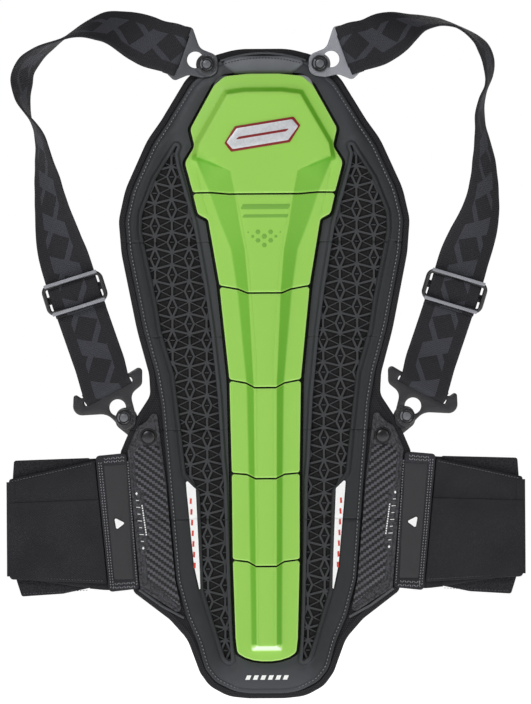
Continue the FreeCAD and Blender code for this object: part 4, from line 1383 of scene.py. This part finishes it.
def strap(name, stations, finish, side):
    """Webbing along rows of centre (x, depth, z) and width direction, with a soft section."""
    rows = curve_through(stations, 2.5)
    centres, widths = rows[:, :3], rows[:, 3:]
    widths /= np.linalg.norm(widths, axis=1, keepdims=True)
    tangents = np.gradient(centres, axis=0)
    tangents /= np.maximum(np.linalg.norm(tangents, axis=1, keepdims=True), 1e-9)
    normals = np.cross(widths, tangents)
    normals /= np.linalg.norm(normals, axis=1, keepdims=True)
    run = np.concatenate([[0], np.cumsum(np.linalg.norm(np.diff(centres, axis=0), axis=1))])
    across = np.linspace(-1, 1, 13)
    edge = WEB_WALL / 2
    section = [(u * (WEB_HALF - 0.5), edge) for u in across]
    section += [(WEB_HALF, edge * 0.4), (WEB_HALF, -edge * 0.4)]
    section += [(u * (WEB_HALF - 0.5), -edge) for u in across[::-1]]
    section += [(-WEB_HALF, -edge * 0.4), (-WEB_HALF, edge * 0.4)]
    verts, uv = [], []
    for row in range(len(rows)):
        for u, lift in section:
            ripple = 0.12 * math.sin(run[row] * 0.35 + u * 0.6) if abs(u) < WEB_HALF else 0
            x, d, z = centres[row] + widths[row] * u + normals[row] * (lift + ripple)
            verts.append((side * x * MM, -d * MM, z * MM))
            uv.append((u * MM, run[row] * MM, 0))
    piece = skinned(name, verts, len(section), finish)
    store = piece.data.attributes.new("strap_uv", "FLOAT_VECTOR", "POINT")
    store.data.foreach_set("vector", [c for v in uv for c in v])
    return piece, run[-1]


def loop_stations(turns, centre, bar, away):
    """Stations of the webbing round a clip's bar: (distance from the slot, depth) pairs."""
    return [(centre[0] + away[0] * u, d, centre[1] + away[1] * u, bar[0], 0, bar[1])
            for u, d in turns]


def upper_stations(side):
    path = np.array((RIGHT_WEB_PATH if side > 0 else LEFT_WEB_PATH) + WEB_TAIL)
    tangents = np.gradient(path[:, :3], axis=0)
    tangents /= np.linalg.norm(tangents, axis=1, keepdims=True)
    stations = []
    for (x, d, z, roll), tangent in zip(path, tangents):
        outward_side = np.array([-tangent[2], 0, tangent[0]])
        outward_side /= np.linalg.norm(outward_side)
        turn = math.radians(roll)
        normal = np.array([0, math.cos(turn), 0]) + outward_side * math.sin(turn)
        width = np.cross(tangent, normal)
        stations.append((x, d, z) + tuple(width / np.linalg.norm(width)))
    away = (-UPPER_BAR[1], UPPER_BAR[0])
    loop = loop_stations(UPPER_LOOP, UPPER_LOOP_CENTRE, UPPER_BAR, away)
    if np.dot(loop[-1][3:], stations[0][3:]) < 0:
        loop = [s[:3] + tuple(-c for c in s[3:]) for s in loop]
    return loop + stations


def lower_stations():
    across = (LOWER_STRAP[1], 0, -LOWER_STRAP[0])
    x, z = ADJUSTER_CENTRE
    stations = [(x + LOWER_STRAP[0] * u, d, z + LOWER_STRAP[1] * u) + across
                for u, d in LOWER_START]
    away = (-LOWER_BAR[1], LOWER_BAR[0])
    return stations + loop_stations(LOWER_LOOP, LOWER_LOOP_CENTRE, LOWER_BAR, away)


def webbing():
    for side, name in SIDES:
        runs = (
            ("upper", upper_stations(side), "segment_1", (0.072, 0.3), (0.128, 0.3)),
            ("lower", lower_stations(), "segment_4", (0.1225, 0.037), (0.1385, 0.084)),
        )
        for run, stations, body, start, end in runs:
            piece, length = strap(name + run + "_strap", stations, WEBBING, side)
            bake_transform(piece)
            sewn_ends = [run + "_sewn_ends"] if side > 0 else []
            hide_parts(name + run + "_webbing", *sewn_ends)


def adjusters():
    half_w, half_h, bar, clear = 24.5, 13.0, 4.0, 21.3

    def arched(half, corner, crown, radius):
        """Corners of an oblong whose long edges are slightly arched."""
        return [(-half, corner, radius), (0, crown, 80), (half, corner, radius),
                (half, -corner, radius), (0, -crown, 80), (-half, -corner, radius)]

    def crosswise(middle, tall):
        """Corners of a bar across the opening."""
        return [(-clear, middle - tall, 0.6), (clear, middle - tall, 0.6),
                (clear, middle + tall, 0.6), (-clear, middle + tall, 0.6)]

    outer = arched(half_w, half_h - 0.6, half_h + 0.5, 7)
    hole = arched(clear, half_h - bar - 0.6, half_h - bar + 0.4, 1.5)

    def front(points, rim):
        sides = smooth(np.abs(points[:, 0]), 18, 24.5)
        return 11.6 + 0.6 * (1 - sides) - fillet(rim, 1.7)

    def back(points, rim):
        cheek = np.abs(points[:, 0]) > clear + 0.05
        return np.where(cheek, 2.6 + fillet(rim, 1.2), 7.8 + fillet(rim, 1.0))

    walls = [(spaced([(x, -15), (x, 15)], 3, False), False)
             for x in (-clear - 0.1, -clear, clear, clear + 0.1)]
    for side, name in SIDES:
        place = (side * ADJUSTER_CENTRE[0], ADJUSTER_CENTRE[1], side * ADJUSTER_TILT)
        loops = [contour(outer, 2), contour(hole, 2)]
        bars = [relief("frame", loops, front, back, PLASTIC, rings=(0.2, 0.6, 1.1, 1.7),
                       lines=walls, fill=3, place=place)]
        centre = [(-clear - 1, -3, 0.5), (clear + 1, -3, 0.5), (clear + 1, 3, 0.5),
                  (-clear - 1, 3, 0.5)]
        bars.append(relief("bar", [contour(centre)], pillow(5.1, 0.9),
                           lambda p, r: 2.3 + fillet(r, 0.9), PLASTIC, rings=(0.3, 0.9), fill=3,
                           place=place))
        for sign in (-1, 1):
            bars.append(relief("grip", [contour(crosswise(sign * 11.3, 1.3))], pillow(12.5, 0.4),
                               level(10.5), LIGHT_GREY_AND_REFLECTION, rings=(0.15, 0.4), fill=3,
                               place=place))
        on_body(joined(name + "adjuster_frame", bars), name + "adjuster", "clip", name + "adjuster")


# ======== wings and waist belt ========
WING = [
    (84.5, 18.6, 3), (93, 7.0, 12), (99.2, 4.2, 6), (107.2, -14.5, 3), (98.0, -121.7, 3),
    (64.5, -143.5, 3), (71.2, -115.5, 40), (77.2, -40, 60),
]
CARBON_PANEL = [
    (97.0, -10.6, 4), (82.6, -11.0, 2), (76.9, -46.5, 0), (70.6, -115.5, 0), (66.2, -136.0, 1),
    (91.6, -114.5, 2), (93.9, -94.3, 1), (91.1, -89.1, 1), (94.9, -46.8, 2), (99.9, -41.9, 2),
    (102.4, -16.3, 3),
]
WING_BACK, WING_FRONT = 9.1, 12.0
WING_EDGE = [(98.5, -122.5), (80.4, -135.6), (64.0, -144.6)]
DIAMOND = [(-0.95, 0), (0, -1.2), (0.95, 0), (0, 1.2)]
FINE_DASH = [(-0.45, -0.6), (0.45, -0.6), (0.55, 0.6), (-0.35, 0.6)]
SNAP_CENTRE = (90.8, -3.9)
SNAP_PROFILE = [(0.05, 11.6), (6.3, 11.6), (6.5, 12.1), (6.1, 12.5), (5.5, 12.5), (5.5, 12.9),
                (5.3, 13.6), (4.7, 14.2), (3.6, 14.6), (2.0, 14.8), (0.05, 14.85)]
TAB = [(108, -16.4, 3), (132.0, -18.6, 3), (122.0, -124.2, 3), (98.6, -121.7, 3)]
TAB_PANEL = [(125.6, -26.0, 1), (107.9, -25.1, 1), (102.9, -114.5, 1), (118.0, -114.5, 1)]
TAB_BACK, TAB_FRONT = 9.4, 12.5
TAB_ROWS = [
    [(129.6, -22.0), (120.4, -121.4)], [(127.7, -22.0), (118.5, -121.4)],
    [(106.9, -22.6), (100.3, -119.0)],
]
TAB_ZIGZAG = [
    [(127, -21.2), (109.4, -19.6)], [(127, -23.6), (109.4, -22.2)],
    [(119.5, -118.0), (101.6, -116.9)], [(119.6, -120.9), (101.4, -119.9)],
]
TRIANGLE = [(117.6, -66.4, 1), (109.2, -70.6, 1), (115.9, -75.8, 1)]
STRIP = [(62.0, -37.2, 1), (54.3, -44.6, 1), (51.6, -107.7, 0), (51.2, -122.0, 0.5),
         (52.0, -122.5, 0.5), (56.0, -103.9, 0), (61.4, -45.7, 0)]
BAND_BACK, BAND_FRONT = 9.8, 12.2
MIDDLE_BACK, MIDDLE_FRONT = 6.9, 9.4
END_BACK, END_FRONT = 4.0, 6.5
BAND = [(132.4, -21.9, 1), (199, -36.4, 2), (199.4, -52, 2), (199, -113.9, 3), (123.3, -117.6, 1)]
MIDDLE = [(199, -38, 1), (199, -112, 1), (136, -121.5, 3), (136, -22.5, 3)]
END = [(136, -20.2, 2), (195.5, -22.0, 2), (196.5, -36, 2), (194, -115, 4), (190, -127.6, 2),
       (158, -125.6, 6), (136, -121, 2)]


def area_of(corners):
    x, z = np.array([c[0] for c in corners]), np.array([c[1] for c in corners])
    return abs(np.dot(x, np.roll(z, 1)) - np.dot(z, np.roll(x, 1))) / 2 * MM * MM


def wing_felts():
    """Felt of both wings, sunk under the carbon panels."""
    felts = []
    for side, _ in SIDES:
        panel = contour(CARBON_PANEL, side=side)

        def front(points, rim, panel=panel):
            low = signed(points, panel)
            hem = 0.45 * bump(rim - 2.6, 0.6)
            return WING_FRONT - fillet(rim, 1.2) - hem - 0.4 * smooth(low, -0.6, 0.2)

        around = [(inset(panel, gap), True) for gap in (-0.6, 0.0, 0.3)]
        felts.append(relief("felt", [contour(WING, side=side)], front, level(WING_BACK), FELT,
                            lines=around, rings=(0.3, 1.2, 2.0, 2.6, 3.2), fill=5))

    def nodes(k):
        names = {3: ["wing_top"], 4: ["wing_middle"]}.get(k, [])
        tips = ["wing_tips"] if k == 5 else []
        return [side_name + n for _, side_name in SIDES for n in names] + tips

    along_spine(joined("wing_felt", felts), nodes=nodes)


def wing_panels():
    panels = [relief("panel", [contour(CARBON_PANEL, side=side)], pillow(12.35, 0.5), level(11.4),
                     CARBON, rings=(0.15, 0.5), fill=5) for side, _ in SIDES]
    along_spine(joined("wing_panels", panels))


def wing_marks():
    """Height scale beside each tab: ticks between two diamonds, and a fine row of dashes."""
    marks = []
    for side, _ in SIDES:
        for k in range(9):
            reach = 1.1 if k % 2 else 1.6
            tick = [(-reach, -0.3), (reach, -0.1), (reach, 0.35), (-reach, 0.15)]
            shape = DIAMOND if k in (0, 8) else tick
            mark = shifted(shape, 100.2 - 0.62 * k, -48.0 - 5.28 * k)
            marks.append(inlay("mark", flip(mark, side), 12.3, 11.8, WHITE))
        for k in range(13):
            dash = shifted(FINE_DASH, 95.9 - 0.26 * k, -57.4 - 1.86 * k)
            marks.append(inlay("dash", flip(dash, side), 12.5, 11.4, WHITE))
    along_spine(joined("wing_marks", marks))


def wing_piping():
    edges = []
    for side, _ in SIDES:
        line = flip(spaced(WING_EDGE, 3, False)[::-1], side)
        path = np.column_stack([line[:, 0], np.full(len(line), 10.4), line[:, 1]])
        edges.append(tube("piping", path, 1.1, COVER_PLAIN))
    along_spine(joined("wing_piping", edges))


def snap_caps():
    caps = [lathe("cap", (side * SNAP_CENTRE[0], SNAP_CENTRE[1]), SNAP_PROFILE, SNAP)
            for side, _ in SIDES]
    on_body(joined("snaps", caps), "segment_4", "snap", "snap_caps")


def wings():
    wing_felts()
    wing_panels()
    wing_marks()
    wing_piping()
    snap_caps()


def sewn_on(body, slot, *rows, **size):
    """Rows of stitches that one body carries."""
    on_body(stitches(*rows, **size), body, slot)


def belt_tab(side, name):
    """Tab that sets a belt's height: cloth, smooth panel, pointer and rows of thread."""
    panel = contour(TAB_PANEL, side=side)

    def front(points, rim):
        low = signed(points, panel)
        return TAB_FRONT - fillet(rim, 1.1) - 0.5 * smooth(low, -0.7, 0.1)

    around = [(inset(panel, gap), True) for gap in (-0.7, 0.0, 0.2)]
    pointer = flip(rounded(TRIANGLE, 0.8), side)
    parts = [
        relief("tab", [contour(TAB, side=side)], front, level(TAB_BACK), TAB_CLOTH,
               rings=(0.3, 0.8, 1.3), lines=around, fill=4),
        relief("panel", [inset(panel, 0.2)], pillow(12.3, 0.3), level(11.5), TAB_SMOOTH,
               rings=(0.1, 0.4), fill=5),
        inlay("edge", inset(pointer, -0.8), 12.42, 11.6, BLACK_AND_PAINTED_SHADE),
        inlay("pointer", pointer, 12.55, 11.6, WHITE),
    ]
    body = name + "belt_tab"
    on_body(joined(name + "tab_cloth", parts), body, "belt", body)
    rows = [flip(row, side) for row in TAB_ROWS]
    sewn_on(body, "belt", name + "tab_rows", rows, THREAD, TAB_FRONT, pitch=2.1, length=1.5,
            width=0.8, slant=0.5)
    zigzag = [flip(row, side) for row in TAB_ZIGZAG]
    sewn_on(body, "belt", name + "tab_zigzag", zigzag, THREAD, TAB_FRONT, pitch=1.8, length=2.3,
            width=0.7, slant=0.9)


def belt_layers(side, name):
    """The three layers of a folded belt, from the front one to the one with the hooks."""
    def band_front(points, rim):
        out = np.abs(points[:, 0])
        sag = 0.5 * np.sin((points[:, 1] + 70) * 0.11) * smooth(out, 135, 190)
        over = points[:, 1] + 52.5 + 0.03 * (out - 132)
        tuck = 0.9 * smooth(over, -0.4, 0.4)
        return BAND_FRONT + 0.3 * sag - tuck - fillet(rim, 0.9)

    def lining(depth):
        return lambda points, rim: depth + fillet(rim, 0.8)

    crease = [(flip([(125, -52.3 + gap), (200, -54.6 + gap)], side), False)
              for gap in (-0.4, 0, 0.4)]
    layers = (
        ("belt_band", BAND, band_front, BAND_BACK, BELT, "belt", crease),
        ("belt_middle", MIDDLE, pillow(MIDDLE_FRONT, 0.9), MIDDLE_BACK, BELT, "belt", []),
        ("belt_end", END, pillow(END_FRONT, 0.9), END_BACK, HOOK, "hook", []),
    )
    for node, corners, front, back, finish, slot, lines in layers:
        layer = relief(name + node + "_cloth", [contour(corners, side=side)], front, lining(back),
                       finish, rings=(0.2, 0.5, 0.9, 1.6), lines=lines, fill=5)
        on_body(layer, name + node, slot, name + node)
        xs, zs = [c[0] for c in corners], [c[1] for c in corners]
        (max(xs) - min(xs)) * MM
        (max(zs) - min(zs)) * MM
        area_of(corners)


def belt_hems(side, name):
    hem = [flip([(124.6, -115.6), (197.5, -112.0)], side),
           flip([(133.4, -24.0), (197.4, -38.0)], side)]
    sewn_on(name + "belt_band", "belt", name + "band_hem", hem, THREAD_DIM, 12.1, pitch=2.3,
            length=1.5, width=0.5)
    row = [flip([(137.5, -122.8), (160, -124.2), (189, -125.4)], side)]
    sewn_on(name + "belt_end", "hook", name + "end_hem", row, THREAD_DIM, 6.4, pitch=2.3,
            length=1.5, width=0.5)


def waist_belt():
    for side, name in SIDES:
        belt_tab(side, name)
        belt_layers(side, name)
        belt_folds(side, name)
        belt_hems(side, name)



FOLD_WALL = 1.3
FOLD_LEG = 4.0
FOLD_ROWS = 24


def cloth_strip(name, section, ends, finish):
    """Cloth with an (x, depth) section as a centre line, run between two heights per point."""
    section = np.asarray(section, float)
    ahead = np.gradient(section, axis=0)
    ahead /= np.linalg.norm(ahead, axis=1, keepdims=True)
    off = np.column_stack([ahead[:, 1], -ahead[:, 0]]) * FOLD_WALL / 2
    ring = np.concatenate([section + off, (section - off)[::-1]])
    heights = np.concatenate([ends, ends[::-1]])
    verts = []
    for t in np.linspace(0, 1, FOLD_ROWS + 1):
        for (x, d), (top, low) in zip(ring, heights):
            wave = 0.15 * math.sin(9 * t + 0.2 * x)
            verts.append((x * MM, -(d + wave) * MM, (top + (low - top) * t) * MM))
    return skinned(name, verts, len(ring), finish)


def belt_folds(side, name):
    """Cloth round the belt's folds and behind the seam between the tab and the belt."""
    def turn(x, reach, near, far):
        leg = side * (x - math.copysign(FOLD_LEG, reach))
        line = [(leg, near)]
        for k in range(13):
            angle = math.pi * (k / 12 - 0.5)
            line.append((side * (x + reach * math.cos(angle)),
                         (near + far) / 2 + (near - far) / 2 * math.sin(-angle)))
        return line + [(leg, far)]

    outer = turn(198.6, 1.9, 11.2, 7.9)
    inner = turn(136.4, -1.6, 8.3, 5.3)
    seam = [(side * x, d) for x, d in ((119, 8.4), (123, 8.4), (127, 8.2), (131, 7.8), (137, 7.4))]
    seam_ends = [(-19.6, -122.6), (-20.0, -122.8), (-20.4, -122.6), (-20.6, -122.2),
                 (-20.8, -121.6)]
    pieces = (
        ("outer_fold", outer, [(-38.6, -111.6)] * 15, ("belt_band", 199, 10.6),
         ("belt_middle", 199, 8.6)),
        ("inner_fold", inner, [(-24.5, -120.4)] * 15, ("belt_middle", 136, 7.6),
         ("belt_end", 136, 5.8)),
        ("seam_backing", seam, seam_ends, ("belt_tab", 124, 8), ("belt_band", 134, 8)),
    )
    for kind, section, ends, (first, x0, d0), (second, x1, d1) in pieces:
        if side < 0:
            section, ends = section[::-1], ends[::-1]
        piece = cloth_strip(name + kind, section, ends, BELT)
        length = sum(math.dist(a, b) for a, b in zip(section, section[1:])) * MM
        tall = max(a - b for a, b in ends) * MM
        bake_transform(piece)


RED_DASH = [(-0.75, -2.2), (0.75, -2.0), (0.55, 2.2), (-0.95, 2.0)]
FOOT_BAR = [(-2.2, 0), (1.2, 0), (2.6, 3.4), (-0.8, 3.4)]


def trims():
    """White strips beside the windows, the marks at the foot and the rows of stitches."""
    strips, edges, reds = [], [], []
    for side, _ in SIDES:
        loop = contour(STRIP, 4, side, 0.8)
        edges.append(inlay("edge", inset(loop, -0.7), 12.75, 11.0, BLACK_AND_PAINTED_SHADE))
        strips.append(inlay("strip", loop, 13.0, 11.6, WHITE))
        for k in range(7):
            z = -54.0 - 8.3 * k
            dash = shifted(RED_DASH, 58.3 - 0.055 * (-54 - z), z)
            reds.append(inlay("dash", flip(dash, side), 13.15, 12.5, RED_PRINT))
    along_spine(joined("strip_edges", edges))
    along_spine(joined("white_strips", strips))
    along_spine(joined("red_dashes", reds))
    marks = [inlay("mark", shifted(FOOT_BAR, -14.6 + 5.8 * k, -192.6), 13.9, 11.5, WHITE)
             for k in range(6)]
    on_body(joined("foot_marks", marks), "segment_6", "cover")
    seam = inset(spaced(COVER_LINE, 2), 2.6)
    right = seam[seam[:, 0] > 0]
    sewn = [row[order(row)] for row in (right, right * (-1, 1))]
    along_spine(stitches("cover_stitches", sewn, THREAD, COVER_DEPTH, pitch=2.9, length=1.7,
                         width=0.7))


def order(row):
    """Indices that run a half outline from its top to its foot."""
    turn = np.arctan2(row[:, 1] - 40, np.abs(row[:, 0]))
    return np.argsort(-turn)


# ======== light, floor and camera ========
CAMERA_PLACE = (0.0004, -3.0, 0.0612)
CAMERA_ROLL = 0.35
SENSOR_WIDTH = 36
VIEW_WIDTH = 0.4115
STUDIO_LIGHT = 0.2
LAMP_TARGET = (0, 0, 0.03)
LAMPS = (
    ("key_light", (-1.0, -2.1, 1.5), 0.9, 24),
    ("fill_light", (1.7, -1.9, 0.7), 1.2, 6),
    ("back_light", (0.3, 2.2, 1.3), 1.4, 10),
)
FLOOR_DROP = 0.12
FLOOR_GLOW = 0.8


def stage():
    scene = bpy.context.scene
    camera = bpy.data.objects.new("camera", bpy.data.cameras.new("camera"))
    scene.collection.objects.link(camera)
    camera.location = CAMERA_PLACE
    camera.rotation_euler = (math.radians(90), math.radians(CAMERA_ROLL), 0)
    camera.data.sensor_fit = "HORIZONTAL"
    camera.data.sensor_width = SENSOR_WIDTH
    camera.data.lens = SENSOR_WIDTH * (-CAMERA_PLACE[1] - COVER_DEPTH * MM) / VIEW_WIDTH
    scene.camera = camera

    for name, place, size, energy in LAMPS:
        light = bpy.data.lights.new(name, "AREA")
        light.shape = "DISK"
        light.size = size
        light.energy = energy
        lamp = bpy.data.objects.new(name, light)
        lamp.location = place
        aim = Vector(LAMP_TARGET) - Vector(place)
        lamp.rotation_euler = aim.to_track_quat("-Z", "Y").to_euler()
        scene.collection.objects.link(lamp)

    world = bpy.data.worlds.new("studio")
    world.use_nodes = True
    tree = world.node_tree
    tree.nodes["Background"].inputs[0].default_value = (1, 1, 1, 1)
    seen = tree.nodes.new("ShaderNodeLightPath").outputs["Is Camera Ray"]
    power = tree.nodes.new("ShaderNodeMapRange")
    power.inputs[3].default_value = STUDIO_LIGHT
    power.inputs[4].default_value = 1.0
    tree.links.new(seen, power.inputs[0])
    tree.links.new(power.outputs[0], tree.nodes["Background"].inputs[1])
    scene.world = world
    scene.view_settings.view_transform = "Standard"

    floor = Finish("pale_floor", (250, 250, 250), 0.9, Emission_Color=(1, 1, 1, 1),
                   Emission_Strength=FLOOR_GLOW)
    floor.paint(floor.range(floor.noise(3, 2), 0.3, 0.7, 0, 0.2), (246, 246, 247))
    bpy.ops.mesh.primitive_grid_add(x_subdivisions=4, y_subdivisions=4, size=9,
                                    location=(0, 0, cad_box[0][2] - FLOOR_DROP))
    ground = bpy.context.object
    ground.name = "floor"
    ground.data.materials.append(floor.material)


def main():
    stage()
    board()
    lattices()
    plates()
    prints()
    shoulder_fittings()
    webbing()
    adjusters()
    wings()
    waist_belt()
    trims()


main()
